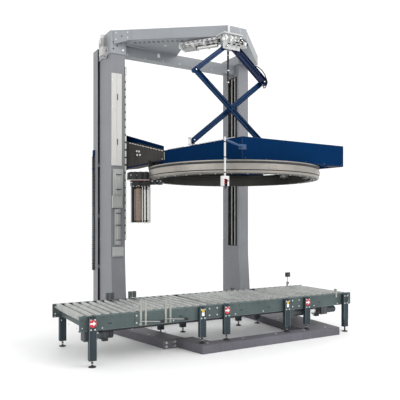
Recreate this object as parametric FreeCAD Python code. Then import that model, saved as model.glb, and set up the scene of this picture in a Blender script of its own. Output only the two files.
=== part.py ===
import math
import os

import FreeCAD
import Part

# Rotary-ring pallet wrapper. All places below are measured from the ring's own axis on the
# floor: X runs along the roller conveyor, Y runs from the operator's side to the two columns
# at the back, Z is up. Millimetres.

V = FreeCAD.Vector

# ---------------------------------------------------------------- overall layout
FLOOR_Z = 0.0
INFEED_END_X = -2707.0
OUTFEED_END_X = 1950.0
BASE_HEIGHT = 120.0
COLUMN_FRONT_Y = 1430.0
COLUMN_DEPTH = 550.0
LEFT_COLUMN_X = -1505.0
LEFT_COLUMN_WIDTH = 250.0
RIGHT_COLUMN_X = 1095.0
RIGHT_COLUMN_WIDTH = 225.0
DUCT_LEFT_X = -1540.0
DUCT_BACK_Y = 2226.0
DUCT_TOP_Z = 4874.0
DUCT_WALL = 3.0
TOP_FRAME_Z = 4860.0
TOP_BEAM_HEIGHT = 175.0
LEFT_COLUMN_TOP_Z = 4654.0
RUNNING = 0.05
GLIDE = 0.5
TOUCH = 0.3

# ---------------------------------------------------------------- roller conveyor
ROLLER_TOP_Z = 640.0
ROLLER_RADIUS = 44.5
ROLLER_AXLE_RADIUS = 10.0
ROLLER_PITCH = 120.0
ROLLER_END_GAP = 3.0
ROLLER_WALL = 4.0
ROLLER_CAP = 20.0
RAIL_TOP_Z = 632.0
RAIL_HEIGHT = 190.0
RAIL_WEB = 6.0
RAIL_FLANGE = 45.0
RAIL_OUTER_Y = 620.0
MODULE_HALF = 760.0
MODULE_GAP = 0.6
LEG_WIDTH = 95.0
LEG_DEPTH = 60.0
LEG_WALL = 5.0
LEG_TOP_Z = 620.0
FOOT_HEIGHT = 82.0
FOOT_RADIUS = 45.0
FOOT_PLATE = 12.0
FOOT_STEM_RADIUS = 11.0
FOOT_CONE_RADIUS = 19.8
INNER_LEG_X = 555.0
OUTER_LEG_X = 960.0
INFEED_LEG_X = -2550.0
OUTFEED_LEG_X = 1790.0
LEG_XS = (INFEED_LEG_X, -OUTER_LEG_X, -INNER_LEG_X, INNER_LEG_X, OUTER_LEG_X, OUTFEED_LEG_X)
CROSS_MEMBER = 60.0
COUPLING_HOLE_RADIUS = 7.0
COUPLING_EDGE = 40.0
COUPLING_PITCH_X = 60.0
COUPLING_PITCH_Z = 100.0
POWERED_ROLLERS = 8
GEARMOTOR_XS = (INFEED_LEG_X - 25.0, INNER_LEG_X + 130.0, OUTFEED_LEG_X - 420.0)
GEARMOTOR_BRACKET = 8.0
GEARMOTOR_BRACKET_HALF = 70.0
GEARMOTOR_BRACKET_FRONT = 4.0
GEARMOTOR_BRACKET_REACH = 120.0
GEARMOTOR_BOX_HALF = 65.0
GEARMOTOR_BOX_HEIGHT = 120.0
GEARMOTOR_BOX_FRONT = 10.0
GEARMOTOR_BOX_REACH = 100.0
GEARMOTOR_LENGTH = 200.0
GEARMOTOR_AXIS_Y = 30.0
GEARMOTOR_RADIUS = 52.0
PHOTOCELL_XS = (-1880.0, -1515.0, 1626.0)
PHOTOCELL_BRACKET = 5.0
PHOTOCELL_BRACKET_WIDTH = 32.0
PHOTOCELL_FOOT = 60.0
PHOTOCELL_RISE = 70.0
PHOTOCELL_WIDTH = 28.0
PHOTOCELL_DEPTH = 34.0
PHOTOCELL_HEIGHT = 44.0
PHOTOCELL_TOP = 68.0

# ---------------------------------------------------------------- base frame
BASE_WALL = 8.0
FRONT_BEAM_Y = -801.0
FRONT_BEAM_WIDTH = 200.0
FRONT_BEAM_LEFT_X = -1037.0
STUB_END_Y = -265.0
STUB_WIDTH = 278.0
STUB_SLOPE = -0.2
LEFT_BEAM_FRONT_X = -1350.0
LEFT_BEAM_SLOPE = -0.188
LEFT_BEAM_WIDTH = 340.0
RIGHT_BEAM_FRONT_X = 900.0
RIGHT_BEAM_SLOPE = 0.11
RIGHT_BEAM_WIDTH = 620.0
BASE_REAR_Y = 2000.0
REAR_BEAM_Y = 1320.0
FLANGE_THICKNESS = 20.0
BOLT_HEAD_RADIUS = 15.0
BOLT_HEAD_HEIGHT = 11.0
FLANGE_BOLT_XS = (35.0, 135.0)
FLANGE_BOLT_HEIGHTS = (0.27, 0.73)
FOOT_BOLT_INSET = 40.0

# ---------------------------------------------------------------- columns
COLUMN_WALL = 8.0
FOOT_PLATE_THICKNESS = 25.0
FOOT_PLATE_MARGIN = 55.0
FOOT_PLATE_LIP = 15.0
GUSSET_TOP_Z = 1224.0
GUSSET_REACH = 85.0
GUSSET_WALL = 10.0
OPENING_FRONT_Y = 1482.0
OPENING_BACK_Y = 1798.0
OPENING_BOTTOM_Z = 1350.0
OPENING_TOP_Z = 4640.0
SPROCKET_Y = 1640.0
SPROCKET_Z = 4720.0
SPROCKET_RADIUS = 125.0
SPROCKET_WIDTH = 20.0
SPROCKET_WINDOWS = 5
SPROCKET_WINDOW_CIRCLE = 75.0
SPROCKET_WINDOW_RADIUS = 18.0
CHAIN_WIDTH = 20.0
CHAIN_THICKNESS = 12.0
CHAIN_BOTTOM_Z = 900.0
SHAFT_RADIUS = 15.0
HEAD_MARGIN = 15.0
HEAD_WALL = 8.0
LIFT_FLANGE = 18.0
LIFT_FLANGE_RADIUS = 105.0
LIFT_GEARBOX_HALF = 70.0
LIFT_GEARBOX_DEPTH = 77.0
LIFT_MOTOR_X = 38.0
LIFT_MOTOR_Y = 10.0
LIFT_MOTOR_HEIGHT = 290.0
LIFT_MOTOR_RADIUS = 34.0
LIFT_BORE_DEPTH = 45.0
LIFT_SHAFT_REACH = 40.0
COVER_LEFT_MARGIN = 4.0
COVER_RIGHT_MARGIN = 66.0
COVER_THICKNESS = 22.0
COVER_SEAM = 92.0
COVER_SEAM_GAP = 2.0
COVER_BOTTOM_Z = 2763.0
COVER_TOP_Z = 4321.0
# Boxes on the left column: margin from its left side, from its right side, depth, bottom, top.
COLUMN_BOXES = ((30.0, 60.0, 55.0, 2262.0, 2700.0), (12.0, 66.0, 60.0, 2048.0, 2258.0),
                (60.0, 100.0, 48.0, 1732.0, 2028.0), (60.0, 100.0, 48.0, 1428.0, 1727.0),
                (20.0, 40.0, 40.0, 1228.0, 1391.0))

# ---------------------------------------------------------------- top frame
TOP_WALL = 8.0
TOP_FRONT_Y = 240.0
TOP_FRONT_LEFT_X = 64.0
TOP_FRONT_RIGHT_X = 424.0
TOP_LEFT_WIDTH = 260.0
TOP_RIGHT_WIDTH = 240.0
TOP_RIGHT_CORNER = (1461.0, 1306.0)
REAR_TOP_BEAM_Y = 1560.0
REAR_TOP_BEAM_WIDTH = 180.0
REAR_TOP_BEAM_HEIGHT = 170.0
GUSSET_PLATE = 12.0
PERFORATION_RADIUS = 11.0
PERFORATION_ROWS = (60.0, 110.0)
PERFORATION_START = 70.0
PERFORATION_PITCH = 80.0
PERFORATION_COUNT = 11
PLATE_STEP = 25.0
PLATE_LENGTH = 1000.0
PLATE_FLARE = 260.0

# ---------------------------------------------------------------- ring and its drive
RING_OUTER = 1339.0
RING_INNER = 1190.0
RING_BOTTOM_Z = 2465.0
RING_TOP_Z = 2646.0
RING_WALL_INNER = 1216.0
RING_GROOVE = 13.0
RING_OUTER_WALL = 24.0
RING_PLATE = 12.0
RING_LIP = 14.0
RING_CHANNEL = 34.0
RING_CHAMFER = 24.0
RING_FOOT = 10.0
BEAD_THICKNESS = 12.0
BEAD_Z = 2600.0
GUIDE_GROOVE_RADIUS = 60.0
GUIDE_FLANGE_RADIUS = 75.0
GUIDE_HALF_HEIGHT = 30.0
GUIDE_FRONT_Y = -1000.0
GUIDE_REAR_Y = 800.0
GUIDE_RIGHT_Y = 100.0
DRIVE_WHEEL_RADIUS = 69.7
DRIVE_WHEEL_Y = -860.0
DRIVE_WHEEL_RAISE = 15.0
DRIVE_WHEEL_CLEARANCE = 10.0
DRIVE_PLATE = 12.0
DRIVE_PLATE_HALF = 75.0
DRIVE_GEARBOX_RADIUS = 65.0
DRIVE_GEARBOX_HEIGHT = 100.0
DRIVE_MOTOR_RADIUS = 55.0
DRIVE_MOTOR_HEIGHT = 280.0
DRIVE_SHAFT_HEIGHT = 50.0

# ---------------------------------------------------------------- lifting carriage
CARRIAGE_BOTTOM_Z = 2664.0
CARRIAGE_TOP_Z = 2980.0
CARRIAGE_WALL = 6.0
COVER_FRONT_Y = -1058.0
COVER_DEPTH = 123.0
COVER_SHEET = 4.0
COVER_SIDE_SHEET = 4.4
COVER_CORNER_RADIUS = 28.0
COVER_LEFT_X = -563.0
COVER_RIGHT_X = 1361.0
CARRIAGE_SLOPE = -0.1563
SIDE_BEAM_WIDTH = 90.0
SIDE_BEAM_REAR_Y = 900.0
CROSS_BEAM_DEPTH = 95.0
REAR_CROSS_DEPTH = 120.0
REAR_CROSS_TOP_Z = 2940.0
ARM_START_Y = 740.0
ARM_PLATE = 12.0
ARM_FRONT_BOTTOM_Z = 2806.0
ARM_BACK_BOTTOM_Z = 2729.0
ARM_FRONT_TOP_Z = 2972.0
ARM_MIDDLE_TOP_Z = 3180.0
ARM_BACK_TOP_Z = 3250.0
ARM_BACK_SETBACK = 100.0
RIGHT_ARM_CUT = 200.0
SLIDE_THICKNESS = 54.0
SLIDE_BOTTOM_Z = 2700.0
SLIDE_TOP_Z = 3200.0
SLIDE_FRONT_MARGIN = 10.0
SLIDE_BACK_MARGIN = 60.0
TONGUE_REACH = 30.0
TONGUE_WIDTH = 60.0
TONGUE_HEIGHT = 120.0
TONGUE_INSET = 30.0
TONGUE_CLEARANCE = 5.0

# ---------------------------------------------------------------- film carriage
FILM_ANGLE = 152.0
FILM_TOP_Z = 2440.0
FILM_BOTTOM_Z = 1794.0
FILM_BOX_TOP_Z = 2600.0
FILM_INNER_R = 1318.0
FILM_OUTER_R = 1622.0
FILM_PLATE = 12.0
FILM_FRONT = 85.0
FILM_BACK = -105.0
FILM_SHELF_GAP = 33.0
HANGER_OVERLAP = 110.0
HANGER_SETBACK = 20.0
HOUSING_GAP = 12.0
HOUSING_SETBACK = 35.0
GEARS_END_SETBACK = 30.0
GEARS_SETBACK = 10.0
REEL_R = 1497.0
REEL_RADIUS = 68.0
REEL_TOP_Z = 2330.0
REEL_BOTTOM_Z = 1830.0
REEL_CORE_RADIUS = 38.0
REEL_CORE_END = 14.0
STRETCH_A_R = 1401.0
STRETCH_A_RADIUS = 22.0
STRETCH_B_R = 1350.0
STRETCH_B_RADIUS = 20.0
SPINDLE_RADIUS = 12.0
SPINDLE_SETBACK = 2.0
TIE_ROD_R = 1592.0
TIE_ROD_RADIUS = 16.0
TIE_ROD_SETBACK = 40.0

# ---------------------------------------------------------------- top press
PRESS_CENTRE_X = 70.0
PRESS_PIVOT_HALF = 103.0
PRESS_PIVOT_Z = 4648.0
UPPER_ARM_LENGTH = 741.0
LONG_ARM_LENGTH = 1721.0
PRESS_ANGLE = 38.93
ARM_DEPTH = 40.0
ARM_GAP = 6.0
ARM_FRONT_Y = 119.0
ARM_SHEET = 6.0
UPPER_LEFT_WIDTH = 76.0
UPPER_RIGHT_WIDTH = 140.0
LONG_ARM_WIDTH = 85.0
PIN_RADIUS = 15.0
PIN_END = 4.0
PIN_HEAD = 8.0
CROSSING_GAP = 2.0
BOSS_RADIUS = 28.0
EAR_THICKNESS = 12.0
EAR_MARGIN = 60.0
EAR_DROP = 40.0
EAR_RISE = 30.0
HANGER_PLATE = 20.0
HANGER_LIP = 20.0
HANGER_FRONT = 30.0
HANGER_REAR = 90.0
RAIL_PLATE_TOP_Z = 3010.0
RAIL_PLATE_THICKNESS = 20.0
PRESS_RAIL_HALF = 710.0
PRESS_RAIL_WIDTH = 190.0
PLATEN_HALF_X = 520.0
PLATEN_HALF_Y = 300.0
PLATEN_THICKNESS = 30.0
SLIDER_HALF = 35.0
SLIDER_BASE = 24.0

# ---------------------------------------------------------------- origin of the part
SENSOR_X = -1124.0
SENSOR_Y = -1482.0
SENSOR_ROD = 9.0
SENSOR_HEAD = 22.0
SENSOR_BOTTOM_Z = 2250.0
SENSOR_TOP_Z = 2340.0
SENSOR_BAR_Z = 2835.0
SENSOR_BAR_RADIUS = 14.0
SENSOR_ROD_RISE = 30.0
SENSOR_LUG_HALF = 60.0
SENSOR_LUG_DEPTH = 10.0
SENSOR_LUG_RISE = 35.0
ORIGIN_X = (INFEED_END_X + OUTFEED_END_X) / 2
ORIGIN_Y = (SENSOR_Y - SENSOR_HEAD + DUCT_BACK_Y) / 2

# ---------------------------------------------------------------- values worked out
ROLLER_AXIS_Z = ROLLER_TOP_Z - ROLLER_RADIUS
RAIL_INNER_Y = RAIL_OUTER_Y - RAIL_WEB
ROLLER_HALF = RAIL_OUTER_Y - RAIL_FLANGE - ROLLER_END_GAP
RAIL_BOTTOM_Z = RAIL_TOP_Z - RAIL_HEIGHT
LEG_CENTRE_Y = RAIL_OUTER_Y + LEG_DEPTH / 2
FRONT_BEAM_REAR_Y = FRONT_BEAM_Y + FRONT_BEAM_WIDTH
LEFT_BEAM_START_Y = STUB_END_Y + FLANGE_THICKNESS
LEFT_COLUMN_INNER_X = LEFT_COLUMN_X + LEFT_COLUMN_WIDTH
RIGHT_COLUMN_OUTER_X = RIGHT_COLUMN_X + RIGHT_COLUMN_WIDTH
COLUMN_BACK_Y = COLUMN_FRONT_Y + COLUMN_DEPTH
ARM_BACK_Y = COLUMN_BACK_Y - ARM_BACK_SETBACK
LEFT_CHAIN_X = LEFT_COLUMN_INNER_X - COLUMN_WALL - TONGUE_REACH - CHAIN_WIDTH / 2
RIGHT_CHAIN_X = RIGHT_COLUMN_X + COLUMN_WALL + TONGUE_REACH + CHAIN_WIDTH / 2
TOP_FRAME_TOP_Z = TOP_FRAME_Z + TOP_BEAM_HEIGHT
COVER_BACK_Y = COVER_FRONT_Y + COVER_DEPTH
GUIDE_CENTRE_R = RING_INNER - GUIDE_GROOVE_RADIUS - TOUCH
DRIVE_CENTRE_R = RING_WALL_INNER - DRIVE_WHEEL_RADIUS - TOUCH
BEAD_MID_Z = BEAD_Z + BEAD_THICKNESS / 2
ARM_MID_Y = ARM_FRONT_Y + ARM_DEPTH + ARM_GAP
ARM_REAR_Y = ARM_MID_Y + ARM_DEPTH + ARM_GAP
ARM_COS = math.cos(math.radians(PRESS_ANGLE))
ARM_SIN = math.sin(math.radians(PRESS_ANGLE))
ELBOW_HALF = PRESS_PIVOT_HALF + UPPER_ARM_LENGTH * ARM_COS
ELBOW_Z = PRESS_PIVOT_Z - UPPER_ARM_LENGTH * ARM_SIN
LOWER_HALF = LONG_ARM_LENGTH * ARM_COS - ELBOW_HALF
LOWER_Z = ELBOW_Z - LONG_ARM_LENGTH * ARM_SIN
CROSS_DISTANCE = ELBOW_HALF / ARM_COS
PRESS_MID_Y = ARM_MID_Y + ARM_DEPTH / 2


# ================================================================ small helpers
def box(x0, x1, y0, y1, z0, z1):
    return Part.makeBox(x1 - x0, y1 - y0, z1 - z0, V(x0, y0, z0))


def rod_x(x0, x1, y, z, radius):
    return Part.makeCylinder(radius, x1 - x0, V(x0, y, z), V(1, 0, 0))


def rod_y(x, y0, y1, z, radius):
    return Part.makeCylinder(radius, y1 - y0, V(x, y0, z), V(0, 1, 0))


def rod_z(x, y, z0, z1, radius):
    return Part.makeCylinder(radius, z1 - z0, V(x, y, z0), V(0, 0, 1))


def plan_face(points, z):
    corners = [V(x, y, z) for x, y in points]
    return Part.Face(Part.makePolygon(corners + corners[:1]))


def prism(points, z0, z1):
    return plan_face(points, z0).extrude(V(0, 0, z1 - z0))


def inset_prism(points, wall, z0, z1):
    """The prism over a plan outline drawn in by one wall."""
    return plan_face(points, z0).makeOffset2D(-wall).extrude(V(0, 0, z1 - z0))


def middle(points):
    return sum(p[0] for p in points) / len(points), sum(p[1] for p in points) / len(points)


def shell_prism(points, z0, z1, wall):
    """A closed sheet-metal box over a plan outline, with a drain hole in its floor."""
    x, y = middle(points)
    body = prism(points, z0, z1).cut(inset_prism(points, wall, z0 + wall, z1 - wall))
    return body.cut(rod_z(x, y, z0 - 1, z0 + wall + 1, 1.5 * wall))


def on_line(x0, y0, slope, y):
    """The X of a plan line that passes (x0, y0) and gains slope in X for each unit of Y."""
    return x0 + slope * (y - y0)


def mirror_y(shape):
    return shape.mirror(V(0, 0, 0), V(0, 1, 0))


def fuse(first, *others):
    return first.multiFuse(list(others)).removeSplitter()


def export(name, *shapes):
    solids = []
    for shape in shapes:
        solids.extend(shape.Solids)
    placed = Part.makeCompound(solids)
    placed.translate(V(-ORIGIN_X, -ORIGIN_Y, 0))
    placed.exportStep("parts/" + name + ".step")


# ================================================================ base frame
def stub_x(y):
    return on_line(FRONT_BEAM_LEFT_X, FRONT_BEAM_Y, STUB_SLOPE, y)


def left_beam_x(y):
    return on_line(LEFT_BEAM_FRONT_X, LEFT_BEAM_START_Y, LEFT_BEAM_SLOPE, y)


def right_beam_x(y):
    return on_line(RIGHT_BEAM_FRONT_X, FRONT_BEAM_Y, RIGHT_BEAM_SLOPE, y)


def skewed_beam(edge, width, y0, y1):
    """A closed base beam whose left side runs along edge(y) from y0 to y1."""
    outline = [(edge(y0), y0), (edge(y0) + width, y0), (edge(y1) + width, y1), (edge(y1), y1)]
    return shell_prism(outline, FLOOR_Z, BASE_HEIGHT, BASE_WALL)


def base_front_beam():
    """The front beam and, welded behind its left end, the stub that takes the left beam."""
    front, rear = FRONT_BEAM_Y, FRONT_BEAM_REAR_Y
    beam = [(stub_x(front), front), (right_beam_x(front), front),
            (right_beam_x(rear), rear), (stub_x(rear), rear)]
    return [shell_prism(beam, FLOOR_Z, BASE_HEIGHT, BASE_WALL),
            skewed_beam(stub_x, STUB_WIDTH, rear, STUB_END_Y)]


def base_left_beam():
    """The wide skewed beam under the left column, with the flange that meets the stub."""
    start = LEFT_BEAM_START_Y
    flange = box(LEFT_BEAM_FRONT_X - FLANGE_THICKNESS, stub_x(STUB_END_Y) + STUB_WIDTH, STUB_END_Y, start,
                 FLOOR_Z, BASE_HEIGHT)
    return fuse(skewed_beam(left_beam_x, LEFT_BEAM_WIDTH, start, BASE_REAR_Y), flange)


def base_right_beam():
    return skewed_beam(right_beam_x, RIGHT_BEAM_WIDTH, FRONT_BEAM_Y, BASE_REAR_Y)


def base_rear_beam():
    """The deep beam between the side beams, under both column feet."""
    y0, y1 = REAR_BEAM_Y, BASE_REAR_Y
    beam = [(left_beam_x(y0) + LEFT_BEAM_WIDTH, y0), (right_beam_x(y0), y0),
            (right_beam_x(y1), y1), (left_beam_x(y1) + LEFT_BEAM_WIDTH, y1)]
    return shell_prism(beam, FLOOR_Z, BASE_HEIGHT, BASE_WALL)


def hex_head(x, y, z, direction):
    """A hexagon bolt head that stands on the point (x, y, z) and looks along direction."""
    corners = [V(BOLT_HEAD_RADIUS * math.cos(math.radians(60 * i)),
                 BOLT_HEAD_RADIUS * math.sin(math.radians(60 * i)), 0) for i in range(7)]
    head = Part.Face(Part.makePolygon(corners)).extrude(V(0, 0, BOLT_HEAD_HEIGHT))
    head.Placement = FreeCAD.Placement(V(x, y, z), FreeCAD.Rotation(V(0, 0, 1), direction))
    return head


def flange_bolts():
    """Four heads on the flange beside the stub, and four on each column foot."""
    heads = []
    for x in FLANGE_BOLT_XS:
        for height in FLANGE_BOLT_HEIGHTS:
            heads.append(hex_head(LEFT_BEAM_FRONT_X + x, STUB_END_Y, BASE_HEIGHT * height, V(0, -1, 0)))
    for left, width in ((LEFT_COLUMN_X, LEFT_COLUMN_WIDTH), (RIGHT_COLUMN_X, RIGHT_COLUMN_WIDTH)):
        for x in (left - FOOT_PLATE_MARGIN / 2, left + width + FOOT_PLATE_MARGIN / 2):
            for y in (COLUMN_FRONT_Y + FOOT_BOLT_INSET, COLUMN_BACK_Y - FOOT_BOLT_INSET):
                heads.append(hex_head(x, y, BASE_HEIGHT + FOOT_PLATE_THICKNESS, V(0, 0, 1)))
    return heads


# ================================================================ columns and heads
def column_opening(x0, x1):
    """The tall opening in a column's inner face, over both runs of the lift chain."""
    return box(x0, x1, OPENING_FRONT_Y, OPENING_BACK_Y, OPENING_BOTTOM_Z, OPENING_TOP_Z)


def shaft_bore(x0, x1):
    """The running hole of a sprocket shaft between two X values."""
    return rod_x(x0, x1, SPROCKET_Y, SPROCKET_Z, SHAFT_RADIUS + RUNNING)


def foot_wedge(x0, x1):
    """The hollow flared foot on the front face of a column."""
    base_z = BASE_HEIGHT + FOOT_PLATE_THICKNESS
    y0, y1 = COLUMN_FRONT_Y - GUSSET_REACH, COLUMN_FRONT_Y
    corners = [V(x0, y0, base_z), V(x0, y1, base_z), V(x0, y1, GUSSET_TOP_Z)]
    wedge = Part.Face(Part.makePolygon(corners + corners[:1])).extrude(V(x1 - x0, 0, 0))
    hollow = box(x0 + GUSSET_WALL, x1 - GUSSET_WALL, y0, y1, base_z, GUSSET_TOP_Z)
    slope_in = wedge.copy()
    slope_in.translate(V(0, GUSSET_WALL, 0))
    return wedge.cut(hollow.common(slope_in))


def column(x, width, top_z):
    """One hollow column with its foot plate and its flared foot."""
    base_z = BASE_HEIGHT + FOOT_PLATE_THICKNESS
    t = COLUMN_WALL
    outer = box(x, x + width, COLUMN_FRONT_Y, COLUMN_BACK_Y, base_z, top_z)
    bore = box(x + t, x + width - t, COLUMN_FRONT_Y + t, COLUMN_BACK_Y - t, base_z, top_z)
    foot_front, foot_back = COLUMN_FRONT_Y - GUSSET_REACH - FOOT_PLATE_LIP, COLUMN_BACK_Y + FOOT_PLATE_LIP
    foot_left, foot_right = x - FOOT_PLATE_MARGIN, x + width + FOOT_PLATE_MARGIN
    foot = box(foot_left, foot_right, foot_front, foot_back, BASE_HEIGHT, base_z)
    return fuse(outer.cut(bore), foot, foot_wedge(x, x + width))


def left_column():
    shape = column(LEFT_COLUMN_X, LEFT_COLUMN_WIDTH, LEFT_COLUMN_TOP_Z)
    return shape.cut(column_opening(LEFT_COLUMN_INNER_X - 2 * COLUMN_WALL, LEFT_COLUMN_INNER_X + 1))


def right_column():
    """The right column; its outer wall carries the sprocket's shaft."""
    shape = column(RIGHT_COLUMN_X, RIGHT_COLUMN_WIDTH, TOP_FRAME_Z)
    shape = shape.cut(column_opening(RIGHT_COLUMN_X - 1, RIGHT_COLUMN_X + 2 * COLUMN_WALL))
    return shape.cut(shaft_bore(RIGHT_COLUMN_OUTER_X - 2 * COLUMN_WALL, RIGHT_COLUMN_OUTER_X + 1))


def head_box(x, width, z0):
    return box(x - HEAD_MARGIN, x + width + HEAD_MARGIN, COLUMN_FRONT_Y - HEAD_MARGIN,
               COLUMN_BACK_Y + HEAD_MARGIN, z0, TOP_FRAME_TOP_Z)


def column_head(x, width, z0):
    """The sheet-metal head over a column, open below, sitting on the column's wall."""
    inner = box(x + COLUMN_WALL, x + width - COLUMN_WALL, COLUMN_FRONT_Y + COLUMN_WALL,
                COLUMN_BACK_Y - COLUMN_WALL, z0, TOP_FRAME_TOP_Z - HEAD_WALL)
    return head_box(x, width, z0).cut(inner)


def column_heads():
    left = column_head(LEFT_COLUMN_X, LEFT_COLUMN_WIDTH, LEFT_COLUMN_TOP_Z)
    bore = shaft_bore(LEFT_COLUMN_X - HEAD_MARGIN - 1, LEFT_COLUMN_X + 2 * COLUMN_WALL)
    return [left.cut(bore), column_head(RIGHT_COLUMN_X, RIGHT_COLUMN_WIDTH, TOP_FRAME_Z)]


def lift_gearmotor():
    """The right-angle gearmotor on the left face of the left head."""
    face_x = LEFT_COLUMN_X - HEAD_MARGIN
    box_x = face_x - LIFT_FLANGE
    y, z = SPROCKET_Y, SPROCKET_Z
    half = LIFT_GEARBOX_HALF
    flange = rod_x(box_x, face_x, y, z, LIFT_FLANGE_RADIUS)
    gearbox = box(box_x - LIFT_GEARBOX_DEPTH, box_x, y - half, y + half, z - half, z + half)
    motor = rod_z(box_x - LIFT_MOTOR_X, y + LIFT_MOTOR_Y, z + half, z + LIFT_MOTOR_HEIGHT, LIFT_MOTOR_RADIUS)
    return fuse(flange, gearbox, motor).cut(shaft_bore(face_x - LIFT_BORE_DEPTH, face_x + 1))


def lift_sprocket(chain_x, shaft_end_x):
    """A chain wheel with its shaft, which runs out through the wall on one side."""
    y, z = SPROCKET_Y, SPROCKET_Z
    half = SPROCKET_WIDTH / 2
    wheel = rod_x(chain_x - half, chain_x + half, y, z, SPROCKET_RADIUS)
    hub = rod_x(chain_x - SPROCKET_WIDTH, chain_x + SPROCKET_WIDTH, y, z, 2 * SHAFT_RADIUS)
    shaft = rod_x(min(chain_x, shaft_end_x), max(chain_x, shaft_end_x), y, z, SHAFT_RADIUS)
    windows = []
    for i in range(SPROCKET_WINDOWS):
        angle = 2 * math.pi * i / SPROCKET_WINDOWS
        window_y = y + SPROCKET_WINDOW_CIRCLE * math.cos(angle)
        window_z = z + SPROCKET_WINDOW_CIRCLE * math.sin(angle)
        windows.append(rod_x(chain_x - half - 1, chain_x + half + 1, window_y, window_z,
                             SPROCKET_WINDOW_RADIUS))
    return fuse(wheel, hub, shaft).cut(Part.makeCompound(windows))


def lift_chains():
    """The two upright runs of each column's lift chain, below its sprocket."""
    runs = []
    for x in (LEFT_CHAIN_X, RIGHT_CHAIN_X):
        for side in (-1, 1):
            face = SPROCKET_Y + side * (SPROCKET_RADIUS + TOUCH)
            y0, y1 = sorted((face, face + side * CHAIN_THICKNESS))
            runs.append(box(x - CHAIN_WIDTH / 2, x + CHAIN_WIDTH / 2, y0, y1, CHAIN_BOTTOM_Z, SPROCKET_Z))
    return runs


def left_column_cover():
    """The long pale cover on the front face of the left column, in two leaves."""
    left, right = LEFT_COLUMN_X + COVER_LEFT_MARGIN, LEFT_COLUMN_INNER_X - COVER_RIGHT_MARGIN
    seam = LEFT_COLUMN_X + COVER_SEAM
    y0, y1 = COLUMN_FRONT_Y - COVER_THICKNESS, COLUMN_FRONT_Y
    return [box(left, seam - COVER_SEAM_GAP / 2, y0, y1, COVER_BOTTOM_Z, COVER_TOP_Z),
            box(seam + COVER_SEAM_GAP / 2, right, y0, y1, COVER_BOTTOM_Z, COVER_TOP_Z)]


def left_column_boxes():
    """The small boxes below the long cover: terminal box, valve boxes and lower cover."""
    front = COLUMN_FRONT_Y
    return [box(LEFT_COLUMN_X + left, LEFT_COLUMN_INNER_X - right, front - depth, front, z0, z1)
            for left, right, depth, z0, z1 in COLUMN_BOXES]


def left_column_rear_cover():
    """The deep cable duct behind the left column, open towards it."""
    x0, x1 = DUCT_LEFT_X, LEFT_COLUMN_INNER_X - HEAD_MARGIN
    y0, y1 = COLUMN_BACK_Y + HEAD_MARGIN, DUCT_BACK_Y
    t = DUCT_WALL
    outer = box(x0, x1, y0, y1, BASE_HEIGHT, DUCT_TOP_Z)
    return outer.cut(box(x0 + t, x1 - t, y0, y1 - t, BASE_HEIGHT + t, DUCT_TOP_Z - t))


# ================================================================ top frame
def beam_direction(p, q):
    length = math.hypot(q[0] - p[0], q[1] - p[1])
    return (q[0] - p[0]) / length, (q[1] - p[1]) / length


def left_beam_ends():
    """Front side and back side of the left diagonal beam, each as two plan points."""
    start = (LEFT_COLUMN_X + 20, COLUMN_FRONT_Y - HEAD_MARGIN)
    end = (TOP_FRONT_LEFT_X, TOP_FRONT_Y)
    dx, dy = beam_direction(start, end)
    nx, ny = -dy * TOP_LEFT_WIDTH, dx * TOP_LEFT_WIDTH
    return start, end, (start[0] + nx, start[1] + ny), (end[0] + nx, end[1] + ny)


def right_beam_ends():
    start = (TOP_FRONT_RIGHT_X, TOP_FRONT_Y)
    dx, dy = beam_direction(start, TOP_RIGHT_CORNER)
    nx, ny = -dy * TOP_RIGHT_WIDTH, dx * TOP_RIGHT_WIDTH
    return start, TOP_RIGHT_CORNER, (start[0] + nx, start[1] + ny), (dx, dy)


def top_left_beam():
    start, end, back_start, back_end = left_beam_ends()
    dx, dy = beam_direction(back_start, back_end)
    head_x = LEFT_COLUMN_INNER_X + HEAD_MARGIN
    head_y = COLUMN_FRONT_Y - HEAD_MARGIN
    meet_y = back_start[1] + (head_x - back_start[0]) * dy / dx
    outline = [start, end, back_end, (head_x, meet_y), (head_x, head_y)]
    return shell_prism(outline, TOP_FRAME_Z, TOP_FRAME_TOP_Z, TOP_WALL)


def top_right_beam():
    start, corner, back_start, (dx, dy) = right_beam_ends()
    head_y = COLUMN_FRONT_Y - HEAD_MARGIN
    meet_x = back_start[0] + (head_y - back_start[1]) * dx / dy
    outline = [start, corner, (RIGHT_COLUMN_OUTER_X + HEAD_MARGIN, head_y), (meet_x, head_y), back_start]
    return shell_prism(outline, TOP_FRAME_Z, TOP_FRAME_TOP_Z, TOP_WALL)


def top_front_beam():
    """The short front piece that joins the two diagonal beams."""
    outline = [left_beam_ends()[1], right_beam_ends()[0], right_beam_ends()[2], left_beam_ends()[3]]
    return shell_prism(outline, TOP_FRAME_Z, TOP_FRAME_TOP_Z, TOP_WALL)


def top_rear_beam():
    y0, y1 = REAR_TOP_BEAM_Y, REAR_TOP_BEAM_Y + REAR_TOP_BEAM_WIDTH
    x0, x1 = LEFT_COLUMN_INNER_X + HEAD_MARGIN, RIGHT_COLUMN_X
    z0, z1 = TOP_FRAME_Z - REAR_TOP_BEAM_HEIGHT, TOP_FRAME_Z
    t = TOP_WALL
    return box(x0, x1, y0, y1, z0, z1).cut(box(x0, x1, y0 + t, y1 - t, z0 + t, z1 - t))


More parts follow.
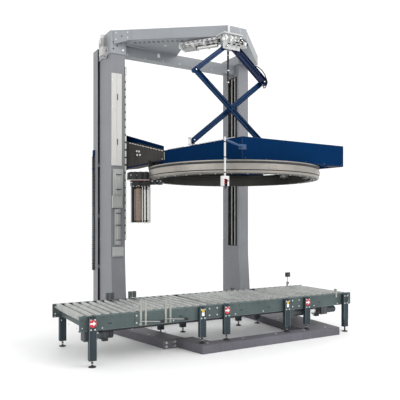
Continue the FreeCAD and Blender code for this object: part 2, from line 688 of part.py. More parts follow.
def top_gusset_plate():
    """The perforated plate in the corner between the left diagonal beam and the rear beam."""
    start, end = left_beam_ends()[:2]
    dx, dy = beam_direction(start, end)
    head_x = LEFT_COLUMN_INNER_X + HEAD_MARGIN
    near = (head_x, start[1] + (head_x - start[0]) * dy / dx + PLATE_STEP)
    far = (near[0] + PLATE_LENGTH * dx, near[1] + PLATE_LENGTH * dy)
    outline = [near, far, (far[0] + PLATE_FLARE, REAR_TOP_BEAM_Y), (head_x, REAR_TOP_BEAM_Y)]
    plate = prism(outline, TOP_FRAME_Z - GUSSET_PLATE, TOP_FRAME_Z)
    holes = []
    for row in PERFORATION_ROWS:
        for i in range(PERFORATION_COUNT):
            along = PERFORATION_START + PERFORATION_PITCH * i
            x = near[0] + along * dx - row * dy
            y = near[1] + along * dy + row * dx
            holes.append(rod_z(x, y, TOP_FRAME_Z - 2 * GUSSET_PLATE, TOP_FRAME_Z + 1, PERFORATION_RADIUS))
    return plate.cut(Part.makeCompound(holes))


# ================================================================ roller conveyor
def module_spans():
    gap = MODULE_GAP / 2
    return [(INFEED_END_X, -MODULE_HALF - gap), (gap - MODULE_HALF, MODULE_HALF - gap),
            (MODULE_HALF + gap, OUTFEED_END_X)]


def rail(x0, x1):
    """The near rail of one module, a channel with its flanges towards the rollers."""
    flange_y = RAIL_FLANGE - RAIL_OUTER_Y
    outer = box(x0, x1, -RAIL_OUTER_Y, flange_y, RAIL_BOTTOM_Z, RAIL_TOP_Z)
    inner = box(x0, x1, -RAIL_INNER_Y, flange_y, RAIL_BOTTOM_Z + RAIL_WEB, RAIL_TOP_Z - RAIL_WEB)
    return outer.cut(inner)


def coupling_holes(end_x, inward):
    """Four holes in a rail's web at a free end of the conveyor, for the next conveyor's bolts."""
    z = (RAIL_TOP_Z + RAIL_BOTTOM_Z) / 2
    holes = []
    for x in (end_x + inward * COUPLING_EDGE, end_x + inward * (COUPLING_EDGE + COUPLING_PITCH_X)):
        for dz in (-COUPLING_PITCH_Z / 2, COUPLING_PITCH_Z / 2):
            holes.append(rod_y(x, -RAIL_OUTER_Y - 1, -RAIL_INNER_Y + 1, z + dz, COUPLING_HOLE_RADIUS))
    return Part.makeCompound(holes)


def conveyor_frame():
    """The channel rails of the three modules and the tubes that join them."""
    solids = []
    for x0, x1 in module_spans():
        near = rail(x0, x1)
        near = near.cut(coupling_holes(x0, 1)) if x0 == INFEED_END_X else near
        near = near.cut(coupling_holes(x1, -1)) if x1 == OUTFEED_END_X else near
        solids += [near, mirror_y(near)]
    return solids + cross_members()


def leg_places():
    """Each leg as its X, its side and the height of what it stands on."""
    places = []
    for x in LEG_XS:
        on_base = FRONT_BEAM_LEFT_X < x < RIGHT_BEAM_FRONT_X + RIGHT_BEAM_WIDTH
        places.append((x, -1, BASE_HEIGHT if on_base else FLOOR_Z))
        places.append((x, 1, FLOOR_Z))
    return places


def conveyor_legs():
    legs = []
    for x, side, ground in leg_places():
        y0, y1 = sorted((side * RAIL_OUTER_Y, side * (RAIL_OUTER_Y + LEG_DEPTH)))
        x0, x1 = x - LEG_WIDTH / 2, x + LEG_WIDTH / 2
        z0 = ground + FOOT_HEIGHT
        outer = box(x0, x1, y0, y1, z0, LEG_TOP_Z)
        inner = box(x0 + LEG_WALL, x1 - LEG_WALL, y0 + LEG_WALL, y1 - LEG_WALL, z0 + 3 * LEG_WALL, LEG_TOP_Z)
        legs.append(outer.cut(inner))
    return legs


def levelling_feet():
    feet = []
    for x, side, ground in leg_places():
        y = side * LEG_CENTRE_Y
        disc = rod_z(x, y, ground, ground + FOOT_PLATE, FOOT_RADIUS)
        cone = Part.makeCone(FOOT_CONE_RADIUS, FOOT_STEM_RADIUS, FOOT_PLATE, V(x, y, ground + FOOT_PLATE))
        stem = rod_z(x, y, ground + FOOT_PLATE, ground + FOOT_HEIGHT, FOOT_STEM_RADIUS)
        feet.append(fuse(disc, cone, stem))
    return feet


def cross_members():
    """Square tubes between the rails, one at each pair of legs."""
    tubes = []
    half, t = CROSS_MEMBER / 2, LEG_WALL
    z0 = RAIL_BOTTOM_Z + RAIL_WEB
    z1 = z0 + CROSS_MEMBER
    for x in LEG_XS:
        outer = box(x - half, x + half, -RAIL_INNER_Y, RAIL_INNER_Y, z0, z1)
        inner = box(x - half + t, x + half - t, -RAIL_INNER_Y, RAIL_INNER_Y, z0 + t, z1 - t)
        tubes.append(outer.cut(inner))
    return tubes


def roller(x):
    """One roller: a tube with closed ends on an axle that reaches both rail webs."""
    bore_half = ROLLER_HALF - ROLLER_CAP
    tube = rod_y(x, -ROLLER_HALF, ROLLER_HALF, ROLLER_AXIS_Z, ROLLER_RADIUS)
    bore = rod_y(x, -bore_half, bore_half, ROLLER_AXIS_Z, ROLLER_RADIUS - ROLLER_WALL)
    axle = rod_y(x, TOUCH - RAIL_INNER_Y, RAIL_INNER_Y - TOUCH, ROLLER_AXIS_Z, ROLLER_AXLE_RADIUS)
    return tube.cut(bore).fuse(axle)


def roller_places(x0, x1):
    count = int((x1 - x0) // ROLLER_PITCH)
    first = (x0 + x1) / 2 - (count - 1) * ROLLER_PITCH / 2
    return [first + i * ROLLER_PITCH for i in range(count)]


def gearmotor_under_rail(x):
    """A conveyor gearmotor hung under the near rail: bracket, gearbox and motor."""
    y0 = RAIL_FLANGE - RAIL_OUTER_Y
    top = RAIL_BOTTOM_Z
    bracket_half, box_half = GEARMOTOR_BRACKET_HALF, GEARMOTOR_BOX_HALF
    box_top = top - GEARMOTOR_BRACKET
    bracket = box(x - bracket_half, x + bracket_half, GEARMOTOR_BRACKET_FRONT - RAIL_OUTER_Y,
                  y0 + GEARMOTOR_BRACKET_REACH, box_top, top)
    gearbox = box(x - box_half, x + box_half, GEARMOTOR_BOX_FRONT - RAIL_OUTER_Y, y0 + GEARMOTOR_BOX_REACH,
                  box_top - GEARMOTOR_BOX_HEIGHT, box_top)
    motor = rod_x(x + box_half, x + box_half + GEARMOTOR_LENGTH, y0 + GEARMOTOR_AXIS_Y,
                  box_top - GEARMOTOR_BOX_HEIGHT / 2, GEARMOTOR_RADIUS)
    return fuse(bracket, gearbox, motor)


def conveyor_gearmotors():
    return [gearmotor_under_rail(x) for x in GEARMOTOR_XS]


def photocell(x, side):
    """A small photocell on an upright bracket bolted outside a rail."""
    face = side * RAIL_OUTER_Y
    y0, y1 = sorted((face, face + side * PHOTOCELL_BRACKET))
    half = PHOTOCELL_BRACKET_WIDTH / 2
    bracket = box(x - half, x + half, y0, y1, RAIL_TOP_Z - PHOTOCELL_FOOT, ROLLER_TOP_Z + PHOTOCELL_RISE)
    y0, y1 = sorted((face - side * PHOTOCELL_DEPTH, face))
    half = PHOTOCELL_WIDTH / 2
    z1 = ROLLER_TOP_Z + PHOTOCELL_TOP
    head = box(x - half, x + half, y0, y1, z1 - PHOTOCELL_HEIGHT, z1)
    return [bracket, head]


def photocells():
    solids = []
    for x in PHOTOCELL_XS:
        solids += photocell(x, -1)
        solids += photocell(x, 1)
    return solids


# ================================================================ lifting carriage
def carriage_left_x(y):
    return on_line(COVER_LEFT_X, COVER_FRONT_Y, CARRIAGE_SLOPE, y)


def carriage_right_x(y):
    return on_line(COVER_RIGHT_X, COVER_FRONT_Y, CARRIAGE_SLOPE, y)


def carriage_front_cover():
    """The long painted sheet cover over the front cross beam, open below and behind."""
    y0, y1 = COVER_FRONT_Y, COVER_BACK_Y
    left, right, t = carriage_left_x, carriage_right_x, COVER_SHEET
    side = COVER_SIDE_SHEET
    outer = prism([(left(y0), y0), (right(y0), y0), (right(y1), y1), (left(y1), y1)],
                  CARRIAGE_BOTTOM_Z, CARRIAGE_TOP_Z)
    middle_x = (COVER_LEFT_X + COVER_RIGHT_X) / 2
    corner = [e for e in outer.Edges if abs(e.Vertexes[0].Z - e.Vertexes[1].Z) > 1
              and e.Vertexes[0].X > middle_x and e.Vertexes[0].Y < y0 + 1]
    outer = outer.makeFillet(COVER_CORNER_RADIUS, corner)
    inner = [(left(y0) + side, y0 + t), (right(y0) - COVER_CORNER_RADIUS, y0 + t),
             (right(y0) - side, y0 + COVER_CORNER_RADIUS), (right(y1) - side, y1), (left(y1) + side, y1)]
    return outer.cut(prism(inner, CARRIAGE_BOTTOM_Z, CARRIAGE_TOP_Z - t))


def guide_places():
    """The three guide rollers, under the front cross beam, the left beam and the right beam."""
    places = []
    for y, side in ((GUIDE_FRONT_Y, -1), (GUIDE_REAR_Y, -1), (GUIDE_RIGHT_Y, 1)):
        places.append((side * math.sqrt(GUIDE_CENTRE_R ** 2 - y ** 2), y))
    return places


def shaft_hole(x, y):
    return rod_z(x, y, CARRIAGE_BOTTOM_Z - 1, CARRIAGE_BOTTOM_Z + 3 * CARRIAGE_WALL, SHAFT_RADIUS + RUNNING)


def side_beam(edge, inward):
    """A carriage side beam from its outer edge line, inward being +1 to the right or -1."""
    y0, y1 = COVER_BACK_Y, SIDE_BEAM_REAR_Y
    w = inward * SIDE_BEAM_WIDTH
    outline = [(edge(y0), y0), (edge(y0) + w, y0), (edge(y1) + w, y1), (edge(y1), y1)]
    return shell_prism(outline, CARRIAGE_BOTTOM_Z, CARRIAGE_TOP_Z, CARRIAGE_WALL)


def carriage_left_beam():
    return side_beam(carriage_left_x, 1).cut(shaft_hole(*guide_places()[1]))


def carriage_right_beam():
    return side_beam(carriage_right_x, -1).cut(shaft_hole(*guide_places()[2]))


def carriage_cross_beams():
    """The front cross beam inside the cover and the rear cross beam between the side beams."""
    left, right = carriage_left_x, carriage_right_x
    y0, y1 = COVER_BACK_Y - CROSS_BEAM_DEPTH, COVER_BACK_Y
    t = 2 * COVER_SHEET
    front = [(left(y0) + t, y0), (right(y0) - t, y0), (right(y1) - t, y1), (left(y1) + t, y1)]
    y2, y3 = SIDE_BEAM_REAR_Y - REAR_CROSS_DEPTH, SIDE_BEAM_REAR_Y
    w = SIDE_BEAM_WIDTH
    rear = [(left(y2) + w, y2), (right(y2) - w, y2), (right(y3) - w, y3), (left(y3) + w, y3)]
    front_beam = shell_prism(front, CARRIAGE_BOTTOM_Z, CARRIAGE_TOP_Z - COVER_SHEET, CARRIAGE_WALL)
    return [front_beam.cut(shaft_hole(*guide_places()[0])),
            shell_prism(rear, CARRIAGE_BOTTOM_Z, REAR_CROSS_TOP_Z, CARRIAGE_WALL)]


def arm_side(x0, x1, lift, headroom):
    """An arm's side view between two X values, its floor raised by lift and its top by headroom."""
    profile = [(ARM_START_Y, ARM_FRONT_BOTTOM_Z + lift), (COLUMN_FRONT_Y, ARM_BACK_BOTTOM_Z + lift),
               (ARM_BACK_Y, ARM_BACK_BOTTOM_Z + lift), (ARM_BACK_Y, ARM_BACK_TOP_Z + headroom),
               (COLUMN_FRONT_Y, ARM_MIDDLE_TOP_Z + headroom), (ARM_START_Y, ARM_FRONT_TOP_Z + headroom)]
    corners = [V(x0, y, z) for y, z in profile]
    return Part.Face(Part.makePolygon(corners + corners[:1])).extrude(V(x1 - x0, 0, 0))


def tapered_arm(outline):
    """An open-topped arm over a plan outline, deeper towards its column."""
    x0 = min(p[0] for p in outline) - 1
    x1 = max(p[0] for p in outline) + 1
    arm = arm_side(x0, x1, 0, 0).common(prism(outline, ARM_BACK_BOTTOM_Z - 1, ARM_BACK_TOP_Z + 1))
    inside = inset_prism(outline, ARM_PLATE, ARM_BACK_BOTTOM_Z - 1, ARM_BACK_TOP_Z + 1)
    return arm.cut(arm_side(x0, x1, ARM_PLATE, ARM_BACK_TOP_Z - ARM_FRONT_TOP_Z).common(inside))


def left_slide_x():
    return LEFT_COLUMN_INNER_X + GLIDE + SLIDE_THICKNESS


def right_slide_x():
    return RIGHT_COLUMN_X - GLIDE - SLIDE_THICKNESS


def carriage_left_arm():
    rear, w = SIDE_BEAM_REAR_Y, SIDE_BEAM_WIDTH
    outline = [(left_slide_x(), COLUMN_FRONT_Y + SLIDE_FRONT_MARGIN),
               (carriage_left_x(ARM_START_Y), ARM_START_Y), (carriage_left_x(rear), rear),
               (carriage_left_x(rear) + w, rear), (left_slide_x(), ARM_BACK_Y)]
    return tapered_arm(outline)


def carriage_right_arm():
    rear, w = SIDE_BEAM_REAR_Y, SIDE_BEAM_WIDTH
    outline = [(carriage_right_x(rear) - w, rear), (carriage_right_x(rear), rear),
               (right_slide_x(), COLUMN_FRONT_Y + SLIDE_FRONT_MARGIN), (right_slide_x(), ARM_BACK_Y),
               (carriage_right_x(rear) - w, ARM_BACK_Y - RIGHT_ARM_CUT)]
    return tapered_arm(outline)


def slide(column_face, direction):
    """A slide block beside a column's inner face; direction points away from the column."""
    near, far = column_face + direction * GLIDE, column_face + direction * (GLIDE + SLIDE_THICKNESS)
    x0, x1 = sorted((near, far))
    body = box(x0, x1, COLUMN_FRONT_Y + SLIDE_FRONT_MARGIN, COLUMN_BACK_Y - SLIDE_BACK_MARGIN,
               SLIDE_BOTTOM_Z, SLIDE_TOP_Z)
    tip = column_face - direction * (COLUMN_WALL + TONGUE_REACH - TONGUE_CLEARANCE)
    t0, t1 = sorted((near, tip))
    half = TONGUE_WIDTH / 2
    tongues = []
    for y in (SPROCKET_Y - SPROCKET_RADIUS, SPROCKET_Y + SPROCKET_RADIUS):
        for z in (SLIDE_BOTTOM_Z + TONGUE_INSET, SLIDE_TOP_Z - TONGUE_INSET - TONGUE_HEIGHT):
            tongues.append(box(t0, t1, y - half, y + half, z, z + TONGUE_HEIGHT))
    return fuse(body, *tongues)


def column_slides():
    return [slide(LEFT_COLUMN_INNER_X, 1), slide(RIGHT_COLUMN_X, -1)]


def load_photocell():
    """The thin rod with the sensor that finds the load's top, on an outrigger."""
    x, y, z = SENSOR_X, SENSOR_Y, SENSOR_BAR_Z
    foot_x, foot_y = carriage_left_x(COVER_FRONT_Y), COVER_FRONT_Y
    dx, dy = foot_x - x, foot_y - y
    rod = rod_z(x, y, SENSOR_TOP_Z - SENSOR_ROD, z + SENSOR_ROD_RISE, SENSOR_ROD)
    length = math.hypot(dx, dy) - SENSOR_LUG_DEPTH / 2
    bar = Part.makeCylinder(SENSOR_BAR_RADIUS, length, V(x, y, z), V(dx, dy, 0))
    lug = box(foot_x - SENSOR_LUG_HALF, foot_x + SENSOR_LUG_HALF, foot_y - SENSOR_LUG_DEPTH, foot_y,
              z - SENSOR_LUG_RISE, z + SENSOR_LUG_RISE)
    half = SENSOR_HEAD
    head = box(x - half, x + half, y - half, y + half, SENSOR_BOTTOM_Z, SENSOR_TOP_Z)
    return fuse(rod, bar, lug, head)


# ================================================================ ring, guides and drive
def ring_profile():
    """The ring's cross-section as radius and height, from the top outside edge inward."""
    r_out, r_in, z0, z1 = RING_OUTER, RING_WALL_INNER, RING_BOTTOM_Z, RING_TOP_Z
    r_band = r_out - RING_GROOVE
    r_back = r_band - RING_OUTER_WALL
    upper_top = z1 - RING_LIP
    upper_bottom = upper_top - RING_CHANNEL
    lower_bottom = z0 + RING_CHAMFER + RING_LIP
    lower_top = lower_bottom + RING_LIP
    bead_top = BEAD_Z + BEAD_THICKNESS
    plate_z = z1 - RING_PLATE
    r_inner_wall = r_in + RING_PLATE
    return [(r_out, z1), (r_out, upper_top), (r_band, upper_top), (r_band, upper_bottom),
            (r_out, upper_bottom), (r_out, lower_top), (r_band, lower_top), (r_band, lower_bottom),
            (r_out, lower_bottom), (r_out, z0 + RING_CHAMFER), (r_band, z0 + RING_FOOT), (r_band, z0),
            (r_back, z0), (r_back, plate_z), (r_inner_wall, plate_z), (r_inner_wall, z0), (r_in, z0),
            (r_in, BEAD_Z), (RING_INNER, BEAD_Z), (RING_INNER, bead_top), (r_in, bead_top), (r_in, z1)]


def ring():
    """The rotating ring: a banded outer wall, a top plate, an inner wall and a guide bead."""
    corners = [V(r, 0, z) for r, z in ring_profile()]
    face = Part.Face(Part.makePolygon(corners + corners[:1]))
    return face.revolve(V(0, 0, 0), V(0, 0, 1), 360)


def ring_guide_roller(x, y):
    """A grooved roller that carries the ring's bead, with its shaft up into the beam."""
    body = rod_z(x, y, BEAD_MID_Z - GUIDE_HALF_HEIGHT, BEAD_MID_Z + GUIDE_HALF_HEIGHT, GUIDE_FLANGE_RADIUS)
    half = BEAD_THICKNESS / 2 + TOUCH
    groove = rod_z(x, y, BEAD_MID_Z - half, BEAD_MID_Z + half, GUIDE_FLANGE_RADIUS + 1)
    core = rod_z(x, y, BEAD_MID_Z - half, BEAD_MID_Z + half, GUIDE_GROOVE_RADIUS)
    shaft = rod_z(x, y, BEAD_MID_Z, CARRIAGE_BOTTOM_Z + 2 * CARRIAGE_WALL, SHAFT_RADIUS)
    return fuse(body.cut(groove), core, shaft)


def drive_place():
    return math.sqrt(DRIVE_CENTRE_R ** 2 - DRIVE_WHEEL_Y ** 2), DRIVE_WHEEL_Y


def ring_drive_motor():
    """The drive motor on its plate behind the front cross beam."""
    x, y = drive_place()
    z = CARRIAGE_BOTTOM_Z
    half, thick = DRIVE_PLATE_HALF, DRIVE_PLATE
    plate = box(x - half, x + half, COVER_BACK_Y, y + half, z, z + thick)
    gearbox = rod_z(x, y, z + thick, z + DRIVE_GEARBOX_HEIGHT, DRIVE_GEARBOX_RADIUS)
    motor = rod_z(x, y, z + DRIVE_GEARBOX_HEIGHT, z + DRIVE_MOTOR_HEIGHT, DRIVE_MOTOR_RADIUS)
    bore = rod_z(x, y, z - 1, z + DRIVE_SHAFT_HEIGHT + thick, SHAFT_RADIUS + RUNNING)
    return fuse(plate, gearbox, motor).cut(bore)


def ring_drive_wheel():
    """The rubber wheel that turns the ring from inside, below its bead."""
    x, y = drive_place()
    z1 = BEAD_Z - DRIVE_WHEEL_CLEARANCE
    tread = rod_z(x, y, RING_BOTTOM_Z + DRIVE_WHEEL_RAISE, z1, DRIVE_WHEEL_RADIUS)
    shaft = rod_z(x, y, z1 - DRIVE_WHEEL_CLEARANCE, CARRIAGE_BOTTOM_Z + DRIVE_SHAFT_HEIGHT, SHAFT_RADIUS)
    return fuse(tread, shaft)


# ================================================================ film carriage, built at angle 0
def turn_to_place(shape):
    shape.rotate(V(0, 0, 0), V(0, 0, 1), FILM_ANGLE)
    return shape


def film_carriage_frame():
    """The hanger, the gear housing and the two end plates that hold the reel and rollers."""
    r0, r1, y0, y1 = FILM_INNER_R, FILM_OUTER_R, FILM_BACK, FILM_FRONT
    shelf_z = REEL_TOP_Z + FILM_SHELF_GAP
    gears_z = shelf_z + FILM_PLATE
    hanger = box(RING_OUTER - HANGER_OVERLAP, r1 - HANGER_SETBACK, y0, y1 - HANGER_SETBACK,
                 FILM_TOP_Z, RING_BOTTOM_Z)
    housing = box(RING_OUTER + HOUSING_GAP, r1, y0, y1 - HOUSING_SETBACK, RING_BOTTOM_Z, FILM_BOX_TOP_Z)
    gears = box(r0, r1 - GEARS_END_SETBACK, y0, y1 - GEARS_SETBACK, gears_z, FILM_TOP_Z)
    top = box(r0, r1, y0, y1, shelf_z, gears_z)
    bottom = box(r0, r1, y0, y1, FILM_BOTTOM_Z, FILM_BOTTOM_Z + FILM_PLATE)
    back = box(r0, r1, y0, y0 + FILM_PLATE, FILM_BOTTOM_Z, FILM_TOP_Z)
    tie = rod_z(TIE_ROD_R, y1 - TIE_ROD_SETBACK, FILM_BOTTOM_Z, gears_z - 1, TIE_ROD_RADIUS)
    frame = fuse(hanger, housing, gears, top, bottom, back, tie)
    for r in (REEL_R, STRETCH_A_R, STRETCH_B_R):
        frame = frame.cut(rod_z(r, 0, FILM_BOTTOM_Z - 1, gears_z + SPINDLE_RADIUS, SPINDLE_RADIUS + RUNNING))
    return turn_to_place(frame)


def spindle(r):
    """The shaft of the reel or of a roller, which runs in both end plates."""
    shelf_top = REEL_TOP_Z + FILM_SHELF_GAP + FILM_PLATE
    return rod_z(r, 0, FILM_BOTTOM_Z + SPINDLE_SETBACK, shelf_top - SPINDLE_SETBACK, SPINDLE_RADIUS)


def film_roller(r, radius):
    """A stretch roller between the two end plates."""
    return turn_to_place(fuse(rod_z(r, 0, REEL_BOTTOM_Z, REEL_TOP_Z, radius), spindle(r)))


def film_reel():
    """The film roll on its core and spindle."""
    roll = rod_z(REEL_R, 0, REEL_BOTTOM_Z, REEL_TOP_Z, REEL_RADIUS)
    core = rod_z(REEL_R, 0, REEL_BOTTOM_Z - REEL_CORE_END, REEL_TOP_Z + REEL_CORE_END, REEL_CORE_RADIUS)
    return turn_to_place(fuse(roll, core, spindle(REEL_R)))


# ================================================================ top press
def stadium(length, width, y0, y1):
    bar = box(0, length, y0, y1, -width / 2, width / 2)
    return fuse(bar, rod_y(0, y0, y1, 0, width / 2), rod_y(length, y0, y1, 0, width / 2))


def press_arm(length, width, y0):
    """A pressed channel arm along +X from its first pivot, open towards the front."""
    y1 = y0 + ARM_DEPTH
    pocket = stadium(length, width - 2 * ARM_SHEET, y0, y1 - ARM_SHEET)
    arm = stadium(length, width, y0, y1).cut(pocket)
    return fuse(arm, rod_y(0, y0, y1, 0, BOSS_RADIUS), rod_y(length, y0, y1, 0, BOSS_RADIUS))


def pin_hole(x, y0):
    return rod_y(x, y0 - 1, y0 + ARM_DEPTH + 1, 0, PIN_RADIUS + RUNNING)


def place_arm(arm, x, z, toward_left):
    """Tilt an arm down by the press angle, to the left or to the right of its first pivot."""
    angle = 180 - PRESS_ANGLE if toward_left else PRESS_ANGLE
    arm.rotate(V(0, 0, 0), V(0, 1, 0), angle)
    arm.translate(V(x, 0, z))
    return arm


def press_upper_arm_left():
    arm = press_arm(UPPER_ARM_LENGTH, UPPER_LEFT_WIDTH, ARM_MID_Y).cut(pin_hole(0, ARM_MID_Y))
    pin = rod_y(UPPER_ARM_LENGTH, ARM_FRONT_Y - PIN_END, ARM_MID_Y, 0, PIN_RADIUS)
    return place_arm(fuse(arm, pin), PRESS_CENTRE_X - PRESS_PIVOT_HALF, PRESS_PIVOT_Z, True)


def press_upper_arm_right():
    arm = press_arm(UPPER_ARM_LENGTH, UPPER_RIGHT_WIDTH, ARM_MID_Y).cut(pin_hole(0, ARM_MID_Y))
    pin = rod_y(UPPER_ARM_LENGTH, ARM_MID_Y + ARM_DEPTH, ARM_REAR_Y + ARM_DEPTH + PIN_END, 0, PIN_RADIUS)
    return place_arm(fuse(arm, pin), PRESS_CENTRE_X + PRESS_PIVOT_HALF, PRESS_PIVOT_Z, False)


def press_long_arm_left():
    """Hangs from the left elbow and runs down to the right, in front of the upper arms."""
    arm = press_arm(LONG_ARM_LENGTH, LONG_ARM_WIDTH, ARM_FRONT_Y).cut(pin_hole(0, ARM_FRONT_Y))
    stub = rod_y(LONG_ARM_LENGTH, ARM_FRONT_Y - ARM_GAP, ARM_FRONT_Y, 0, PIN_RADIUS)
    spacer = rod_y(CROSS_DISTANCE, ARM_FRONT_Y, ARM_REAR_Y - CROSSING_GAP, 0, PIN_RADIUS)
    return place_arm(fuse(arm, stub, spacer), PRESS_CENTRE_X - ELBOW_HALF, ELBOW_Z, False)


def press_long_arm_right():
    """Hangs from the right elbow and runs down to the left, behind the upper arms."""
    arm = press_arm(LONG_ARM_LENGTH, LONG_ARM_WIDTH, ARM_REAR_Y).cut(pin_hole(0, ARM_REAR_Y))
    back = ARM_REAR_Y + ARM_DEPTH
    stub = rod_y(LONG_ARM_LENGTH, back, back + ARM_GAP, 0, PIN_RADIUS)
    return place_arm(fuse(arm, stub), PRESS_CENTRE_X + ELBOW_HALF, ELBOW_Z, True)


def press_slider(x, ear_y, arm_y):
    """A slider on the press rail, with the upright ear beside the end of the arm at arm_y."""
    z0 = RAIL_PLATE_TOP_Z + TOUCH
    y0, y1 = min(ear_y, arm_y), max(ear_y + EAR_THICKNESS, arm_y + ARM_DEPTH)
    base = box(x - SLIDER_HALF, x + SLIDER_HALF, y0, y1, z0, z0 + SLIDER_BASE)
    ear = box(x - SLIDER_HALF, x + SLIDER_HALF, ear_y, ear_y + EAR_THICKNESS, z0, LOWER_Z + EAR_RISE)
    return fuse(base, ear)


def press_bracket():
    """The hanger under the top frame: plate, two ears and the pins of the upper arms."""
    x0, x1 = PRESS_CENTRE_X - PRESS_PIVOT_HALF - EAR_MARGIN, PRESS_CENTRE_X + PRESS_PIVOT_HALF + EAR_MARGIN
    ear_z0, ear_z1 = PRESS_PIVOT_Z - EAR_DROP, TOP_FRAME_Z - HANGER_PLATE
    plate = box(x0 - HANGER_LIP, x1 + HANGER_LIP, ARM_FRONT_Y - HANGER_FRONT, TOP_FRONT_Y + HANGER_REAR,
                ear_z1, TOP_FRAME_Z)
    front_y = ARM_MID_Y - ARM_GAP
    rear_y = ARM_MID_Y + ARM_DEPTH + ARM_GAP
    ears = [box(x0, x1, front_y - EAR_THICKNESS, front_y, ear_z0, ear_z1),
            box(x0, x1, rear_y, rear_y + EAR_THICKNESS, ear_z0, ear_z1)]
    reach = EAR_THICKNESS + PIN_HEAD
    pins = [rod_y(x, front_y - reach, rear_y + reach, PRESS_PIVOT_Z, PIN_RADIUS)
            for x in (PRESS_CENTRE_X - PRESS_PIVOT_HALF, PRESS_CENTRE_X + PRESS_PIVOT_HALF)]
    return fuse(plate, *ears, *pins)


def press_platen():
    """The pressing plate with the rail on which the two sliders run."""
    z1 = RAIL_PLATE_TOP_Z
    z0 = z1 - RAIL_PLATE_THICKNESS
    x, y = PRESS_CENTRE_X, PRESS_MID_Y
    half = PRESS_RAIL_WIDTH / 2
    rail_bar = box(x - PRESS_RAIL_HALF, x + PRESS_RAIL_HALF, y - half, y + half, z0, z1)
    plate = box(x - PLATEN_HALF_X, x + PLATEN_HALF_X, y - PLATEN_HALF_Y, y + PLATEN_HALF_Y,
                z0 - PLATEN_THICKNESS, z0)
    return fuse(rail_bar, plate)


# ================================================================ build
def export_base():
    export("base_front_beam", *base_front_beam())
    export("base_left_beam", base_left_beam())
    export("base_right_beam", base_right_beam())
    export("base_rear_beam", base_rear_beam())
    export("flange_bolts", *flange_bolts())


def export_columns():
    export("left_column", left_column())
    export("right_column", right_column())
    export("left_column_cover", *left_column_cover())
    export("left_column_boxes", *left_column_boxes())
    export("left_column_rear_cover", left_column_rear_cover())
    export("column_heads", *column_heads())
    export("lift_gearmotor", lift_gearmotor())
    export("lift_chains", *lift_chains())
    export("lift_sprocket_left", lift_sprocket(LEFT_CHAIN_X, LEFT_COLUMN_X - HEAD_MARGIN - LIFT_SHAFT_REACH))
    export("lift_sprocket_right", lift_sprocket(RIGHT_CHAIN_X, RIGHT_COLUMN_OUTER_X))


def export_top_frame():
    export("top_left_beam", top_left_beam())
    export("top_front_beam", top_front_beam())
    export("top_right_beam", top_right_beam())
    export("top_rear_beam", top_rear_beam())
    export("top_gusset_plate", top_gusset_plate())


def export_conveyor():
    export("conveyor_frame", *conveyor_frame())
    export("conveyor_legs", *conveyor_legs())
    export("levelling_feet", *levelling_feet())
    export("conveyor_gearmotors", *conveyor_gearmotors())
    export("photocells", *photocells())
    infeed, wrapping, outfeed = [roller_places(x0, x1) for x0, x1 in module_spans()]
    spare = (len(wrapping) - POWERED_ROLLERS) // 2
    powered = wrapping[spare:spare + POWERED_ROLLERS]
    others = infeed + outfeed + [x for x in wrapping if x not in powered]
    export("transfer_rollers", *[roller(x) for x in others])
    for i, x in enumerate(powered):
        export("wrapping_roller_%d" % (i + 1), roller(x))


def export_carriage():
    export("carriage_front_cover", carriage_front_cover())
    export("carriage_left_beam", carriage_left_beam())
    export("carriage_right_beam", carriage_right_beam())
    export("carriage_cross_beams", *carriage_cross_beams())
    export("carriage_left_arm", carriage_left_arm())
    export("carriage_right_arm", carriage_right_arm())
    export("column_slides", *column_slides())
    export("load_photocell", load_photocell())


def export_ring():
    export("ring_drive_motor", ring_drive_motor())
    export("ring_drive_wheel", ring_drive_wheel())
    for name, place in zip(("front", "rear", "right"), guide_places()):
        export("ring_guide_roller_" + name, ring_guide_roller(*place))
    export("ring", ring())
    export("film_carriage_frame", film_carriage_frame())
    export("film_reel", film_reel())
    export("stretch_roller_outer", film_roller(STRETCH_A_R, STRETCH_A_RADIUS))
    export("stretch_roller_inner", film_roller(STRETCH_B_R, STRETCH_B_RADIUS))


def export_press():
    front_ear_y = ARM_FRONT_Y - ARM_GAP - GLIDE - EAR_THICKNESS
    rear_ear_y = ARM_REAR_Y + ARM_DEPTH + ARM_GAP + GLIDE
    export("press_bracket", press_bracket())
    export("press_upper_arm_left", press_upper_arm_left())
    export("press_upper_arm_right", press_upper_arm_right())
    export("press_long_arm_left", press_long_arm_left())
    export("press_long_arm_right", press_long_arm_right())
    export("press_slider_right", press_slider(PRESS_CENTRE_X + LOWER_HALF, front_ear_y, ARM_FRONT_Y))
    export("press_slider_left", press_slider(PRESS_CENTRE_X - LOWER_HALF, rear_ear_y, ARM_REAR_Y))
    export("press_platen", press_platen())


def build():
    os.makedirs("parts", exist_ok=True)
    export_base()
    export_columns()
    export_top_frame()
    export_conveyor()
    export_carriage()
    export_ring()
    export_press()


build()
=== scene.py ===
import math

import bmesh
import bpy
from mathutils import Matrix, Vector


